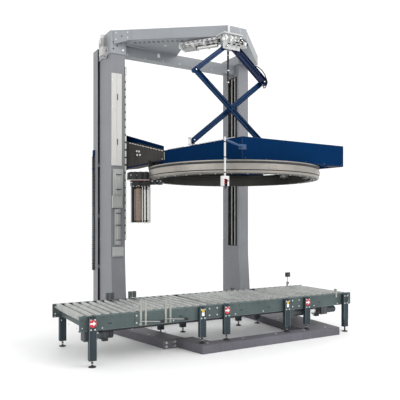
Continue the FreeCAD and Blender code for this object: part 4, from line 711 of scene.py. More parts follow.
def conveyor_motor_details():
    piece = Piece("motor_paint", BLACK, BRIGHT)
    a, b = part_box("conveyor_gearmotors")
    z = b.z - 68 * MM
    y = a.y + 71 * MM
    for x in clusters("conveyor_gearmotors", 0.6):
        left = x - 97.5 * MM
        start = left + 130 * MM
        motor_fins(piece, (start, y, z), (start + 0.2, y, z), 52, 0, 1)
        piece.block(off((start + 0.06, y, z), 0, -34, -86), off((start + 0.13, y, z), 0, 34, -54), 1)
        for dx in (0.02, 0.11):
            for dz in (-0.11, -0.03):
                piece.bolt((left + dx, a.y + 6 * MM, b.z + dz), FRONT, 2, 7, 5)
    piece.finish("conveyor_motor_details", "frame", "motor_paint")


# ---------------------------------------------------------------- conveyor
LEG_HALF = 47.5 * MM
LEG_DEPTH = 60 * MM
RAIL_BOTTOM = 0.442
ROLLER_AXIS = 0.5955
SIGN_RADIUS = 50


def roller_rows():
    """The X of every roller of the conveyor."""
    powered = [centre(n).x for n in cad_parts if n.startswith("wrapping_roller_")]
    return sorted(powered + clusters("transfer_rollers", 0.02))


def rail_hardware():
    """Axle nuts, bolts, joint plates and slots along both rails."""
    a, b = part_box("conveyor_frame")
    rails = ((a.y, FRONT), (b.y, BACK))
    piece = Piece(BRIGHT, "conveyor_green", SHADOW)
    for x in roller_rows():
        for y, out in rails:
            if min(x - a.x, b.x - x) > 0.13:
                piece.bolt((x, y, ROLLER_AXIS), out, 1, 9, 6)
    for x in spaced(a.x + 0.3, b.x - 0.3, 0.48):
        for y, out in rails:
            piece.bolt((x, y, RAIL_BOTTOM + 28 * MM), out, 0, 7, 4)
            # black bar of painted shade in a slot of the rail
            piece.bar((x + 0.08, y, 0.52), (x + 0.13, y, 0.52), 12, 1, 2, FRONT)
    for x in joint_places():
        for y, out in rails:
            piece.bar((x - 0.09, y, 0.537), (x + 0.09, y, 0.537), 150, 10, 1, FRONT)
            for dx in (-0.065, 0.065):
                for z in (0.49, 0.585):
                    piece.bolt(Vector((x + dx, y, z)) + out * 5 * MM, out, 0, 8, 5)
    piece.finish("rail_hardware", "frame", "zinc_steel", 0.5)


def joint_places():
    """Where two lengths of rail meet: the two module joints and the splice of the infeed rail."""
    module = RING_AXIS.x
    return (module - 1.875, module - 0.76, module + 0.76)


def rail_edges():
    """The rolled lips of the rails, a cable duct below the near rail and the end plates."""
    a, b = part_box("conveyor_frame")
    piece = Piece("rail_edge", BLACK, BRIGHT)
    for y in (a.y, b.y):
        piece.bar(off((a.x, y, b.z), 2, 0, -3), off((b.x, y, b.z), -2, 0, -3), 6, 4, 0, FRONT)
        piece.bar(off((a.x, y, RAIL_BOTTOM), 2, 0, 3), off((b.x, y, RAIL_BOTTOM), -2, 0, 3), 6, 4, 0,
                  FRONT)
    y = a.y + 30 * MM
    piece.bar((a.x + 0.3, y, RAIL_BOTTOM - 14 * MM), (b.x - 0.4, y, RAIL_BOTTOM - 14 * MM), 28, 24, 1, FRONT)
    for x in (a.x + 2 * MM, b.x - 2 * MM):
        for dy in (-0.5, -0.17, 0.17, 0.5):
            piece.rod((x, RING_AXIS.y + dy, 0.47), (x + 6 * MM, RING_AXIS.y + dy, 0.47), 9, 2, 16)
    piece.finish("rail_edges", "frame", "conveyor_green", 0.6)


def leg_hardware():
    """Bolts, folded edges and foot nuts of every leg."""
    a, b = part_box("conveyor_legs")
    piece = Piece(BRIGHT, "rail_edge", BLACK)
    for x in clusters("conveyor_legs", 0.2):
        on_base = low("base_front_beam").x < x < high("base_right_beam").x
        for y, out, ground in ((a.y, FRONT, 0.12 if on_base else 0.0), (b.y, BACK, 0.0)):
            for dx in (-0.026, 0.026):
                for z in (0.47, 0.59):
                    piece.bolt((x + dx, y, z), out, 0, 8, 5)
            for dx in (-LEG_HALF, LEG_HALF):
                piece.bar((x + dx, y, ground + 0.084), (x + dx, y, 0.62), 5, 5, 1, FRONT)
            stem_y = y - out.y * LEG_DEPTH / 2
            for z in (ground + 0.036, ground + 0.074):
                piece.rod((x, stem_y, z), (x, stem_y, z + 10 * MM), 17, 0, 6)
            for k in range(5):
                z = ground + 0.05 + k * 4 * MM
                piece.rod((x, stem_y, z), (x, stem_y, z + 2 * MM), 12, 2, 20)
            piece.lathe([(20 * MM, ground + 8 * MM), (47 * MM, ground + 1 * MM), (47 * MM, ground + 9 * MM),
                         (20 * MM, ground + 15 * MM)], Vector((x, stem_y, 0)), 32, 2)
    piece.finish("leg_hardware", "frame", "zinc_steel", 0.5)


def arrow_signs():
    """A plain round red sign with a white arrow on three near legs, and two small blank labels."""
    piece = Piece(SIGN_RED, SIGN_WHITE, SIGN_YELLOW, BUTTON_BLUE)
    y = low("conveyor_legs").y
    legs = clusters("conveyor_legs", 0.2)
    arrow = [(-30, -8), (2, -8), (2, -24), (32, 0), (2, 24), (2, 8), (-30, 8)]
    turn = Matrix.Rotation(math.radians(90), 4, "X")
    for x in (legs[0], legs[2], legs[4]):
        middle = Vector((x, y, 0.545))
        piece.rod(middle, middle + FRONT * 1.5 * MM, SIGN_RADIUS, 0, 48)
        place = Matrix.Translation(middle + FRONT * 1.5 * MM) @ turn
        piece.outline([(u * MM * 1.25, v * MM * 1.25) for u, v in arrow], 1, place, 1)
    for x in (legs[1], legs[3]):
        piece.block(off((x, y, 0.50), -22, -1.5), (x + 22 * MM, y, 0.55), 1)
        piece.block(off((x, y, 0.553), -22, -1.5), (x + 22 * MM, y, 0.595), 2)
        piece.rod((x, y, 0.61), (x, y - 7 * MM, 0.61), 9, 3)
    piece.finish("arrow_signs", "frame", "box_grey", 0.3)


def roller_caps(name, body, xs):
    """Bearing caps, edge rings and a bright wear line on rollers."""
    a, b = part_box("conveyor_frame")
    reach = (b.y - a.y) / 2 - 48 * MM
    piece = Piece(BLACK, BRIGHT)
    for x in xs:
        for side in (-1, 1):
            y = RING_AXIS.y + side * reach
            piece.tube((x, y, ROLLER_AXIS), (x, y + side * 1.5 * MM, ROLLER_AXIS), 40, 12, 0, 28)
            piece.tube((x, y - side * 4 * MM, ROLLER_AXIS), (x, y - side * 12 * MM, ROLLER_AXIS), 44.8, 43, 1,
                       40)
    piece.finish(name, body, "zinc_steel", 0.3)


def all_roller_caps():
    roller_caps("transfer_roller_caps", "frame", clusters("transfer_rollers", 0.02))
    for node in sorted(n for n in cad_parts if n.startswith("wrapping_roller_")):
        roller_caps(node + "_caps", node, [centre(node).x])


def photocell_brackets():
    """Lenses, nuts and the long pale reflector arms beside the infeed photocells."""
    a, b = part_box("photocells")
    piece = Piece("photocells", LENS, BRIGHT, BLACK, "conveyor_green")
    inner = (b.y - a.y) / 2 - 39 * MM
    for x in clusters("photocells", 0.2):
        for side in (-1, 1):
            y = RING_AXIS.y + side * inner
            piece.rod((x, y, 0.69), (x, y - side * 2 * MM, 0.69), 9, 1)
            piece.rod((x, y + side * 0.034, 0.664), (x, y + side * 0.034, 0.64), 5, 3, 12)
            for z in (0.585, 0.61):
                out = FRONT if side < 0 else BACK
                edge = a.y if side < 0 else b.y
                piece.bolt((x, edge, z), out, 2, 6, 4)
    for x in clusters("photocells", 0.2)[:2]:
        y = a.y
        for dx in (0.0, 0.07):
            piece.bar((x + dx, y - 3 * MM, 0.45), (x + dx, y - 3 * MM, 0.78), 30, 4, 0, FRONT)
            piece.block((x + dx - 20 * MM, b.y - 0.04, 0.64), (x + dx + 30 * MM, b.y + 0.004, 0.735), 4)
        piece.bar(off((x, y, 0.51), -20, -12), (x + 0.27, y - 0.07, 0.49), 20, 6, 2)
        piece.block((x + 0.25, y - 0.09, 0.475), (x + 0.3, y - 0.045, 0.505), 3)
    post = Vector((clusters("photocells", 0.2)[-1], b.y - 8 * MM, 0.84))
    piece.bar(off(post, dz=-240), post, 14, 5, 0, FRONT)
    piece.block(off(post, -48, -24, -40), off(post, 48, 6, 40), 3)
    piece.rod(off(post, -16, -24), off(post, -16, -28), 13, 1)
    piece.rod(off(post, 20, -24), off(post, 20, -27), 6, 2, 16)
    piece.finish("photocell_brackets", "frame", "zinc_steel", 0.5)


# ---------------------------------------------------------------- ring and film carriage
RING_SIDES = 160
REEL = centre("film_reel")
FILM_ANGLE = math.atan2(REEL.y - RING_AXIS.y, REEL.x - RING_AXIS.x)
REEL_REACH = 1497


def around(radius, angle, z):
    """A place at radius and angle about the ring's axis."""
    return Vector((RING_AXIS.x + radius * math.cos(angle), RING_AXIS.y + radius * math.sin(angle), z))


def outward(angle):
    return Vector((math.cos(angle), math.sin(angle), 0))


def film_at(r, t, z):
    """A place by the film carriage in millimetres: r out from the ring's axis, t towards its front."""
    out, front = outward(FILM_ANGLE), outward(FILM_ANGLE + math.pi / 2)
    return Vector((RING_AXIS.x, RING_AXIS.y, 0)) + (out * r + front * t + UP * z) * MM


def ring_trim():
    """A dark plate under the ring with its screws, laid there as painted shade on the underside; black bands
    of painted shade under the top flange and in the lower groove; and the splice plates.
    """
    a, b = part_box("ring")
    piece = Piece(OLIVE, BRIGHT, "drive_rubber", "ring_metal")
    inner, outer, groove_shade_radius = RING_RADIUS - 0.110, RING_RADIUS - 0.038, RING_RADIUS - 0.007
    # the dark plate and the two black bands are painted shade
    for r0, r1, z0, z1, slot in ((inner, outer, a.z + 3 * MM, a.z + 11 * MM, 0),
                                 (groove_shade_radius, groove_shade_radius + 5 * MM, b.z - 44 * MM, b.z - 18 * MM, 2),
                                 (groove_shade_radius, groove_shade_radius + 4 * MM, a.z + 39 * MM, a.z + 51 * MM, 2)):
        piece.hoop(RING_AXIS, r0, r1, z0, z1, RING_SIDES, slot)
    for i in range(36):
        piece.bolt(around(RING_RADIUS - 0.074, math.radians(10 * i + 5), a.z + 3 * MM), -UP, 1, 9, 6)
    for i in range(6):
        angle = math.radians(60 * i + 20)
        out = outward(angle)
        p, q = (around(RING_RADIUS + 1 * MM, angle + step, a.z + 92 * MM) for step in (-0.05, 0.05))
        piece.bar(p, q, 62, 6, 3, out)
        for step in (-0.035, -0.012, 0.012, 0.035):
            for dz in (0.075, 0.109):
                piece.bolt(around(RING_RADIUS + 3 * MM, angle + step, a.z + dz), out, 3, 7, 4)
    piece.finish("ring_trim", "ring", "ring_metal", 0.5)


def film_head():
    """Pulleys, gears, belts and covers on the head of the film carriage."""
    piece = Piece(BLACK, BRIGHT, "motor_paint", SIGN_RED, "drive_rubber")
    for r, t, radius in ((1618, -20, 70), (1560, 18, 62), (1470, 30, 66), (1385, 34, 58)):
        piece.rod(film_at(r - 4, t, 2472), film_at(r - 4, t, 2590), radius, 0, 40, radius * 0.94)
        piece.rod(film_at(r - 4, t, 2590), film_at(r - 4, t, 2600), radius * 0.6, 2, 32)
        piece.rod(film_at(r - 4, t, 2600), film_at(r - 4, t, 2607), 16, 1, 6)
    for r, t, radius in ((1590, 30, 44), (1497, 50, 56), (1401, 48, 46), (1350, 40, 30)):
        for z in (2384, 2412, 2440):
            piece.rod(film_at(r, t, z), film_at(r, t, z + 16), radius, 4 if z == 2412 else 0, 36)
        piece.rod(film_at(r, t, 2376), film_at(r, t, 2384), radius * 0.5, 1)
    piece.bar(film_at(1330, 92, 2468), film_at(1660, 92, 2468), 7, 12, 1, FRONT)
    piece.bar(film_at(1340, 94, 2461), film_at(1640, 94, 2461), 3, 8, 3, FRONT)
    for r in range(1350, 1640, 44):
        piece.bolt(film_at(r, 62, 2545), FRONT, 1, 7, 6)
        piece.bolt(film_at(r, 86, 2369), FRONT, 1, 6, 4)
    piece.finish("film_head", "ring", "dark_steel", 0.8)


def film_inner_drive():
    """The gear train that reaches in under the ring beside the film carriage."""
    piece = Piece(BLACK, BRIGHT, "motor_paint")
    piece.bar(film_at(1140, 10, 2450), film_at(1330, 10, 2450), 100, 22)
    for r, t, radius in ((1165, 10, 46), (1245, 24, 36), (1300, 0, 32)):
        piece.rod(film_at(r, t, 2400), film_at(r, t, 2438), radius, 2, 32)
        piece.rod(film_at(r, t, 2392), film_at(r, t, 2400), radius * 0.55, 1, 6)
    for r in (1150, 1205, 1280):
        piece.rod(film_at(r, 62, 2452), film_at(r, 76, 2452), 12, 1)
    piece.finish("film_inner_drive", "ring", "dark_steel", 0.8)


def film_uprights():
    """Bright edge rods beside the reel and the foot plate's rim and bolts."""
    piece = Piece("roller_alu", BRIGHT)
    for r, t, radius in ((1612, 78, 8), (1326, 78, 7), (1432, 82, 6)):
        piece.rod(film_at(r, t, 1806), film_at(r, t, 2363), radius)
    for p, q in (((1318, 87), (1622, 87)), ((1624, 84), (1624, -104)), ((1316, 84), (1316, -104))):
        piece.bar(film_at(*p, 1800), film_at(*q, 1800), 12, 4, 1, UP.cross(film_at(*q, 0) - film_at(*p, 0)))
    for r in (1350, 1401, 1497, 1590):
        piece.bolt(film_at(r, 0, 1794), -UP, 1, 9, 7)
    piece.finish("film_uprights", "ring", "roller_alu", 0.5)


def reel_ends():
    """The cardboard core's ends, its clamping cones and the uneven winding edges of the film."""
    piece = Piece(CARDBOARD, BLACK, "film")
    for z, up in ((2330, 1), (1830, -1)):
        base = film_at(REEL_REACH, 0, z)
        piece.tube(base, base + UP * up * 16 * MM, 40, 33, 0, 40)
        piece.rod(base + UP * up * 15 * MM, base + UP * up * 24 * MM, 32, 1, 32, 20)
    for k in range(9):
        z = 1836 + k * 60.5
        radius = 68.2 + 0.5 * (k % 3)
        piece.hoop(film_at(REEL_REACH, 0, 0), 66 * MM, radius * MM, z * MM, (z + 8) * MM, 48, 2)
    piece.finish("reel_ends", "film_reel", "film", 0.3)


def stretch_roller_ends():
    for node in ("stretch_roller_outer", "stretch_roller_inner"):
        a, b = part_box(node)
        radius = min(b.x - a.x, b.y - a.y) / 2 / MM
        piece = Piece(BLACK, BRIGHT)
        for z, width, out, wall, slot in ((1.83, 8, 0.6, 2, 0), (2.322, 8, 0.6, 2, 0),
                                          *((1.83 + k * 0.1, 2, 0.3, 1, 1) for k in range(1, 5))):
            end = centre(node).xy.to_3d() + UP * z
            piece.tube(end, off(end, dz=width), radius + out, radius - wall, slot, 36)
        piece.finish(node + "_ends", node, "roller_alu", 0.2)


# ---------------------------------------------------------------- lifting carriage
def ring_guard():
    """The dark curved guard that the carriage carries behind the ring, with its rim and bolts."""
    piece = Piece(OLIVE, BLACK, BRIGHT)
    under = low("carriage_left_beam").z
    bottom, top, radius = under - 8 * MM, under + 140 * MM, RING_RADIUS + 14 * MM
    first, last, steps = math.radians(32), math.radians(148), 58
    turns = [first + (last - first) * i / steps for i in range(steps + 1)]
    for t, u in zip(turns, turns[1:]):
        out = outward((t + u) / 2)
        for z0, z1, thick, slot in ((bottom, top, 5, 0), (top - 12 * MM, top, 16, 1)):
            middle = (z0 + z1) / 2
            p, q = around(radius, t, middle), around(radius, u, middle)
            piece.bar(p - (q - p) * 0.02, q + (q - p) * 0.02, (z1 - z0) / MM, thick, slot, out)
    for t in turns[2:-2:6]:
        piece.bolt(around(radius + 2 * MM, t, bottom + 50 * MM), outward(t), 2, 8, 5)
    piece.finish("ring_guard", "carriage", "arm_grey", 0.4)


def wall_place(p, q):
    """The upright plane through p and q: X runs from p to q, Y is height and Z looks outward."""
    along = (q - p).normalized()
    turn = Matrix((along, UP, along.cross(UP))).transposed().to_4x4()
    return Matrix.Translation((p.x, p.y, 0)) @ turn


def left_arm_details():
    """The taller blue back plate, the bolt cluster, white dashes of painted highlight along the top edge, a
    dark strip along the bottom edge and a bright strip at the end of the left arm.
    """
    piece = Piece("carriage_blue", BRIGHT, BLACK, SIGN_WHITE, "press_upper_arm_right")
    far = wall_place(at(-1198, 1880, 0), at(-776, 900, 0))
    piece.outline([(0.0, 3.05), (1.066, 2.90), (1.066, 3.075), (0.0, 3.40)], 9, far)
    piece.outline([(0.0, 3.38), (1.066, 3.055), (1.066, 3.075), (0.0, 3.40)], 30, far)
    near = wall_place(at(-1200, 1440, 0), at(-844, 740, 0))
    length, high_end, low_end = 0.785, 3.180, 2.972
    # white dashes of painted highlight along the near plate's top edge
    for i in range(13):
        s = 0.04 + i * 0.056
        e, top = s + 0.034, high_end - (high_end - low_end) * s / length
        corners = [(s, top - 12 * MM), (e, top - 21 * MM), (e, top - 12 * MM), (s, top - 3 * MM)]
        piece.outline(corners, 5, near, 3)
    for s, z in ((0.16, 2.99), (0.2, 3.01), (0.25, 3.0), (0.16, 2.93), (0.21, 2.945), (0.27, 2.94),
                 (0.18, 2.88)):
        piece.wall_bolt(near, s, z, 2 if s < 0.2 else 1, 12, 8)
    piece.outline([(0, 2.729), (length, 2.806), (length, 2.830), (0, 2.753)], 6, near, 4)
    piece.patch(near, (length - 0.007, 2.82), (length, 2.95), 6, 1)
    piece.wall_bolt(near, length - 0.05, 2.84, 1, 7, 5)
    piece.finish("left_arm_details", "carriage", "carriage_blue", 0.8)


def right_arm_details():
    """The right arm's blue back plate and bolts, as on the left arm."""
    piece = Piece("carriage_blue", BRIGHT, BLACK)
    near = wall_place(at(1040, 1440, 0), at(1056, 900, 0))
    piece.outline([(0.0, 3.05), (0.54, 2.95), (0.54, 3.04), (0.0, 3.24)], 9, near)
    for s, z in ((0.12, 2.99), (0.2, 2.97), (0.28, 2.95), (0.12, 2.9), (0.2, 2.88), (0.28, 2.88)):
        piece.wall_bolt(near, s, z, 1, 12, 8, out=12)
    piece.finish("right_arm_details", "carriage", "carriage_blue", 0.8)


def cover_details():
    """Rolled edges, screws, rubber strip and side rail on the carriage's blue covers."""
    a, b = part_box("carriage_front_cover")
    piece = Piece("cover_edge", BRIGHT, "drive_rubber", BLACK)
    front, left, right = a.y, at(-563, 0, 0).x, at(1333, 0, 0).x
    piece.bar((left, front + 3 * MM, b.z), (right, front + 3 * MM, b.z), 10, 3)
    piece.bar(off((left, front, a.z), 4, 0, 9), (right, front, a.z + 9 * MM), 3, 3, 3, FRONT)
    for x in spaced(left + 0.05, right - 0.03, 0.36):
        piece.bolt((x, front, a.z + 26 * MM), FRONT, 0, 6, 4)
    piece.block(off((right - 0.3, front, a.z), 0, 2, -5), (right - 0.02, front + 0.1, a.z), 2)
    piece.bar((left, front + 0.002, a.z + 10 * MM), (left, front + 0.002, b.z - 4 * MM), 4, 4, 0, FRONT)
    piece.finish("cover_details", "carriage", "carriage_blue", 0.5)


def side_beam_details():
    """The white wiring duct, its clips and the black cable along the left beam, and its screws."""
    piece = Piece(WHITE, BLACK, BRIGHT)
    side = wall_place(at(-844, 740, 0), at(-582, -935, 0))
    length = 1.695
    for i in range(22):
        s = 0.1 + i * 0.072
        if not 0.5 < s < 0.62:
            piece.patch(side, (s, 2.981), (s + 0.05, 2.989), 14)
    for s in (0.16, 0.45, 0.8, 1.15, 1.5):
        piece.wall_bolt(side, s, 2.70, 2, 6, 4)
    piece.patch(side, (0.0, 2.664), (length, 2.674), 5, 1)
    for s, reach in ((0.95, 0.05), (1.0, 0.035), (1.1, 0.03), (1.3, 0.04)):
        p = side @ Vector((s, 2.668, 2 * MM))
        piece.rod(p, p - UP * reach * 0.4, 12, 2, 16)
    piece.finish("side_beam_details", "carriage", "carriage_blue", 0.5)


def load_sensor():
    """The pale rod, and the white sensor box with red lines, a lens and wires at its foot."""
    piece = Piece(WHITE, SIGN_RED, LENS, BLACK)
    a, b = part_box("load_photocell")
    foot = off((a.x, a.y, a.z), 22, 22)
    piece.block(off(foot, -48, -22, 6), off(foot, 48, 26, 130))
    for dz in (30, 58, 86):
        piece.bar(off(foot, -36, -22, dz), off(foot, 8, -22, dz + 9), 7, 2, 1, FRONT)
    piece.rod(off(foot, 28, -22, 70), off(foot, 28, -25, 70), 11, 2)
    piece.rod(off(foot, dz=120), (foot.x, foot.y, b.z - 1 * MM), 12, 0, 20)
    piece.rod(off(foot, dz=8), off(foot, dz=-30), 8, 3, 16)
    piece.rod(off(foot, 20, 0, 8), off(foot, 20, 0, -18), 6, 3, 16)
    for z in spaced(2.42, 2.8, 0.19):
        clip = Vector((foot.x, foot.y, z))
        piece.tube(clip, off(clip, dz=12), 15, 11, 3, 24)
    piece.finish("load_sensor", "carriage", "box_grey", 0.6)


def guide_hubs():
    """Bearing caps and nuts on the ring's guide rollers and its drive wheel."""
    for body in ("guide_roller_front", "guide_roller_rear", "guide_roller_right", "ring_drive_wheel"):
        node = body if body.startswith("ring") else "ring_" + body
        middle = centre(node)
        base = Vector((middle.x, middle.y, low(node).z))
        piece = Piece(BRIGHT, BLACK)
        piece.tube(base, off(base, dz=-4), 46, 18, 1, 36)
        piece.rod(base, off(base, dz=-12), 16, 0, 6)
        piece.finish(node + "_hub", body, "dark_steel", 0.5)


# ---------------------------------------------------------------- top press and top frame
def pin_head(piece, place, direction):
    """A washer and a domed head on a pin's end."""
    place, radius = Vector(place), 11
    piece.rod(place, place + direction * 3 * MM, radius * 1.35, 1, 36)
    piece.rod(place + direction * 3 * MM, place + direction * 11 * MM, radius, 0, 28, radius * 0.8)


def press_pins():
    """Pin heads at the ends of the press arms, and the ribs along them."""
    insets = (("press_upper_arm_left", 38), ("press_upper_arm_right", 70), ("press_long_arm_left", 42.5),
              ("press_long_arm_right", 42.5))
    for node, inset in insets:
        a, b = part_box(node)
        edge = inset * MM
        rises_right = node in ("press_upper_arm_left", "press_long_arm_right")
        upper = Vector((b.x - edge if rises_right else a.x + edge, 0, b.z - edge))
        lower = Vector((a.x + edge if rises_right else b.x - edge, 0, a.z + edge))
        piece = Piece(BRIGHT, BLACK, "cover_edge")
        front = a.y + (4 * MM if node == "press_upper_arm_left" else 0)
        for end in (lower,) if "long" in node else (upper, lower):
            pin_head(piece, (end.x, front - 1 * MM, end.z), FRONT)
            pin_head(piece, (end.x, b.y + 1 * MM, end.z), BACK)
        along = lower - upper
        rib = edge * 0.55
        for off in (-rib, rib):
            shift = along.cross(FRONT).normalized() * off
            p, q = upper + along * 0.16 + shift, upper + along * 0.82 + shift
            piece.bar((p.x, a.y + 24 * MM, p.z), (q.x, a.y + 24 * MM, q.z), 5, 30, 2, FRONT)
        piece.finish(node + "_pins", node.replace("press_", ""), "zinc_steel", 0.5)


def elbow_hose():
    """The air hose that loops round the right elbow, clipped to the upper arm at both ends."""
    a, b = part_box("press_upper_arm_right")
    elbow = Vector((b.x - 70 * MM, (a.y + b.y) / 2 - 26 * MM, a.z + 70 * MM))
    piece = Piece("drive_rubber", BRIGHT)
    path = [off(elbow, x, 0, z) for x, z in ((-190, 250), (-120, 236), (-40, 196), (24, 130), (62, 50),
                                             (66, -30), (40, -84), (6, -104), (-20, -60))]
    for p, q in zip(path, path[1:]):
        piece.rod(p - (q - p) * 0.06, q + (q - p) * 0.06, 8, 0, 16)
    for end in (path[0], path[-1]):
        piece.rod(off(end, dz=-8), off(end, dz=8), 13, 1, 20)
    piece.finish("elbow_hose", "upper_arm_right", "sensor_black", 0.4)


def slider_details():
    """Wheels and bolts of the two sliders, and the left one's pale air fitting."""
    for node, body in (("press_slider_left", "slider_left"), ("press_slider_right", "slider_right")):
        a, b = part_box(node)
        piece = Piece(BRIGHT, BLACK, WHITE)
        if body == "slider_left":
            piece.block(off(a, -62, 6, 4), off(a, 4, 34, 22), 2)
            for dx in (-50, -18):
                piece.rod(off(a, dx, 20, 20), off(a, dx, 20, 100), 8, 2, 16)
                piece.tube(off(a, dx, 20, 100), off(a, dx, 20, 130), 15, 9, 2, 24)
        for x in (a.x + 14 * MM, b.x - 14 * MM):
            piece.bolt((x, (a.y + b.y) / 2, a.z + 24 * MM), UP, 0, 7, 5)
            piece.rod((x, a.y, a.z + 12 * MM), off((x, a.y, a.z), 0, -5, 12), 9, 1)
        piece.finish(node + "_bolts", body, "zinc_steel", 0.4)


def platen_details():
    """Screws along the press rail."""
    piece = Piece(BRIGHT)
    middle, top = centre("press_platen"), high("press_platen").z
    for dx in spaced(-0.66, 0.66, 0.22):
        for dy in (-0.085, 0.085):
            piece.bolt((middle.x + dx, middle.y + dy, top), UP, 0, 7, 2)
    piece.finish("platen_details", "press", "press_blue", 0.5)


def press_trolley():
    """The press's drive under the top frame: slotted rails, a cylinder, a motor and cross plates."""
    piece = Piece(WHITE, BRIGHT, SHADOW, BLACK, "box_grey")
    start, end = at(30, 330, 4790), at(-420, 950, 4790)
    along = (end - start).normalized()
    across = along.cross(UP)
    for off, height in ((-0.085, 0.034), (0.085, 0.034), (-0.03, 0.0), (0.04, -0.01)):
        shift = across * off + UP * height
        piece.bar(start + shift, end + shift, 34, 34)
        for i in range(8):
            spot = start + shift + along * (0.06 + 0.085 * i)
            # black bars of painted shade in the rails' slots
            piece.bar(spot, spot + along * 0.038, 20, 37, 2)
            piece.bar(spot, spot + along * 0.038, 37, 14, 2)
    piece.rod(start + along * 0.1 - UP * 0.05, start + along * 0.46 - UP * 0.05, 34, 1, 36)
    piece.rod(start + along * 0.48 - UP * 0.045, start + along * 0.66 - UP * 0.045, 46, 4, 36)
    for share in (0.03, 0.3, 0.5, 0.74):
        spot = start + along * share - UP * 0.02
        piece.bar(spot - across * 0.13, spot + across * 0.13, 26, 60, 0 if share > 0.1 else 3)
        for off in (-0.11, 0.11):
            piece.bolt(spot + across * off - UP * 0.03, -UP, 1, 10, 7)
    piece.finish("press_trolley", "frame", "zinc_steel", 0.8)


def press_hanger_details():
    """Bolts and brackets about the press pivots, the white bracket plate and the upright black rod."""
    piece = Piece(WHITE, BRIGHT, BLACK, SHADOW)
    a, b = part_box("press_bracket")
    for x in spaced(a.x + 0.04, b.x - 0.04, 0.09):
        for z in (b.z - 0.06, b.z - 0.12):
            piece.bolt((x, a.y + 4 * MM, z), FRONT, 1, 8, 6)
    for x in spaced(a.x + 0.09, b.x - 0.09, 0.1):
        # black marks of painted shade below the bracket's bolts
        piece.bar((x, a.y + 24 * MM, b.z - 0.175), (x + 0.05, a.y + 24 * MM, b.z - 0.175), 20, 8, 3, FRONT)
    piece.rod(at(100, 296, 4100), at(100, 296, 4850), 17, 2)
    for z in (4105, 4300, 4550):
        piece.rod(at(100, 296, z), at(100, 296, z + 16), 21, 1)
    for x, z in ((-120, 4735), (-60, 4765), (40, 4775), (150, 4740), (230, 4765), (300, 4720)):
        piece.block(at(x - 22, 84, z - 26), at(x + 22, 112, z + 26), 2 if x % 4 else 0)
        piece.rod(at(x, 84, z), at(x, 76, z), 9, 1, 16)
    for x in (350, 400, 450):
        piece.rod(at(x, 250, 4780), at(x, 420, 4780), 20, 1)
        piece.rod(at(x, 244, 4780), at(x, 250, 4780), 24, 2)
    piece.bar(at(360, 270, 4812), at(560, 470, 4812), 60, 40)
    piece.bar(at(76, 236, 4850), at(76, 236, 5033), 46, 5, 0, FRONT)
    piece.bar(at(296, 236, 4866), at(296, 236, 5033), 10, 4, 0, FRONT)
    piece.rod(at(64, 230, 4835), at(64, 170, 4835), 30, 2)
    piece.block(at(330, 300, 5028), at(385, 345, 5034), 2)
    piece.finish("press_hanger_details", "frame", "zinc_steel", 0.6)


def beam_joints():
    """Bolts and seam plates where the top beams meet each other and the heads, and the head's flange."""
    piece = Piece("top_left_beam", BRIGHT, BLACK, SIGN_WHITE)
    front = wall_place(at(-1485, 1415, 0), at(64, 240, 0))
    for s in (0.03, 0.33):
        piece.patch(front, (s, 4.862), (s + 0.012, 5.033), 3)
    piece.outline([(0.02, 4.80), (0.30, 4.862), (0.30, 5.02), (0.02, 5.02)], 4, front)
    for s, z in ((0.06, 4.88), (0.06, 4.99), (0.26, 4.9), (0.26, 4.99)):
        piece.wall_bolt(front, s, z, 1, 9, 6, out=4)
    piece.rod(front @ Vector((0.16, 4.93, 0)), front @ Vector((0.16, 4.93, 6 * MM)), 11, 2)
    side = wall_place(at(424, 240, 0), at(1461, 1306, 0))
    for s in (0.05, 0.1, 1.35, 1.42):
        for z in (4.9, 4.99):
            piece.wall_bolt(side, s, z, 1, 9, 6)
    label = wall_place(at(-1200, 1560, 0), at(1000, 1560, 0))
    for s in (0.62, 1.52):
        piece.patch(label, (s, 4.76), (s + 0.05, 4.83), 2, 3)
    for s in spaced(0.05, 2.1, 0.32):
        piece.bolt(label @ Vector((s, 4.71, 0)), FRONT, 1, 7, 4)
    piece.finish("beam_joints", "frame", "column_paint", 0.6)


def gusset_slots():
    """The slots in two rows under the corner plate, drawn as black painted shade, and its pale stiffener."""
    piece = Piece(SHADOW, BEAM_PAINT, SIGN_WHITE)
    under = low("top_gusset_plate").z / MM
    for row in (60, 110):
        for i in range(11):
            s = 50 + 80 * i
            x, y = -1240 + s * 0.797 + row * 0.604, 1254 - s * 0.604 + row * 0.797
            piece.bar(at(x, y, under - 1), at(x + 36, y - 27, under - 1), 14, 3)
    piece.bar(at(-1230, 1400, under - 14), at(-420, 1540, under - 14), 10, 28, 1)
    piece.bar(at(-640, 1160, under - 2), at(-600, 1160, under - 2), 40, 3, 2)
    piece.finish("gusset_slots", "frame", "column_paint", 0.4)


def head_gear():
    """The bolts round the lift shaft and on the front of the left head."""
    shaft = centre("lift_sprocket_left")
    piece = Piece(WHITE, BLACK, BRIGHT)
    face_y = low("column_heads").y
    left = high("lift_gearmotor").x
    for k in range(10):
        t = math.radians(36 * k)
        p = Vector((left - 20 * MM, shaft.y + 84 * MM * math.cos(t), shaft.z + 84 * MM * math.sin(t)))
        piece.bolt(p, LEFT, 1 if k % 2 else 2, 9, 7)
    for dz in (0.05, 0.16, 0.27):
        piece.bolt((left + 0.05, face_y, 4.68 + dz), FRONT, 1, 9, 7)
        piece.bolt((left + 0.22, face_y, 4.68 + dz), FRONT, 2, 9, 7)
    piece.rod((left + 0.12, face_y, 4.79), (left + 0.12, face_y - 2 * MM, 4.79), 14, 1, 32)
    piece.finish("head_gear", "frame", "motor_paint", 0.6)


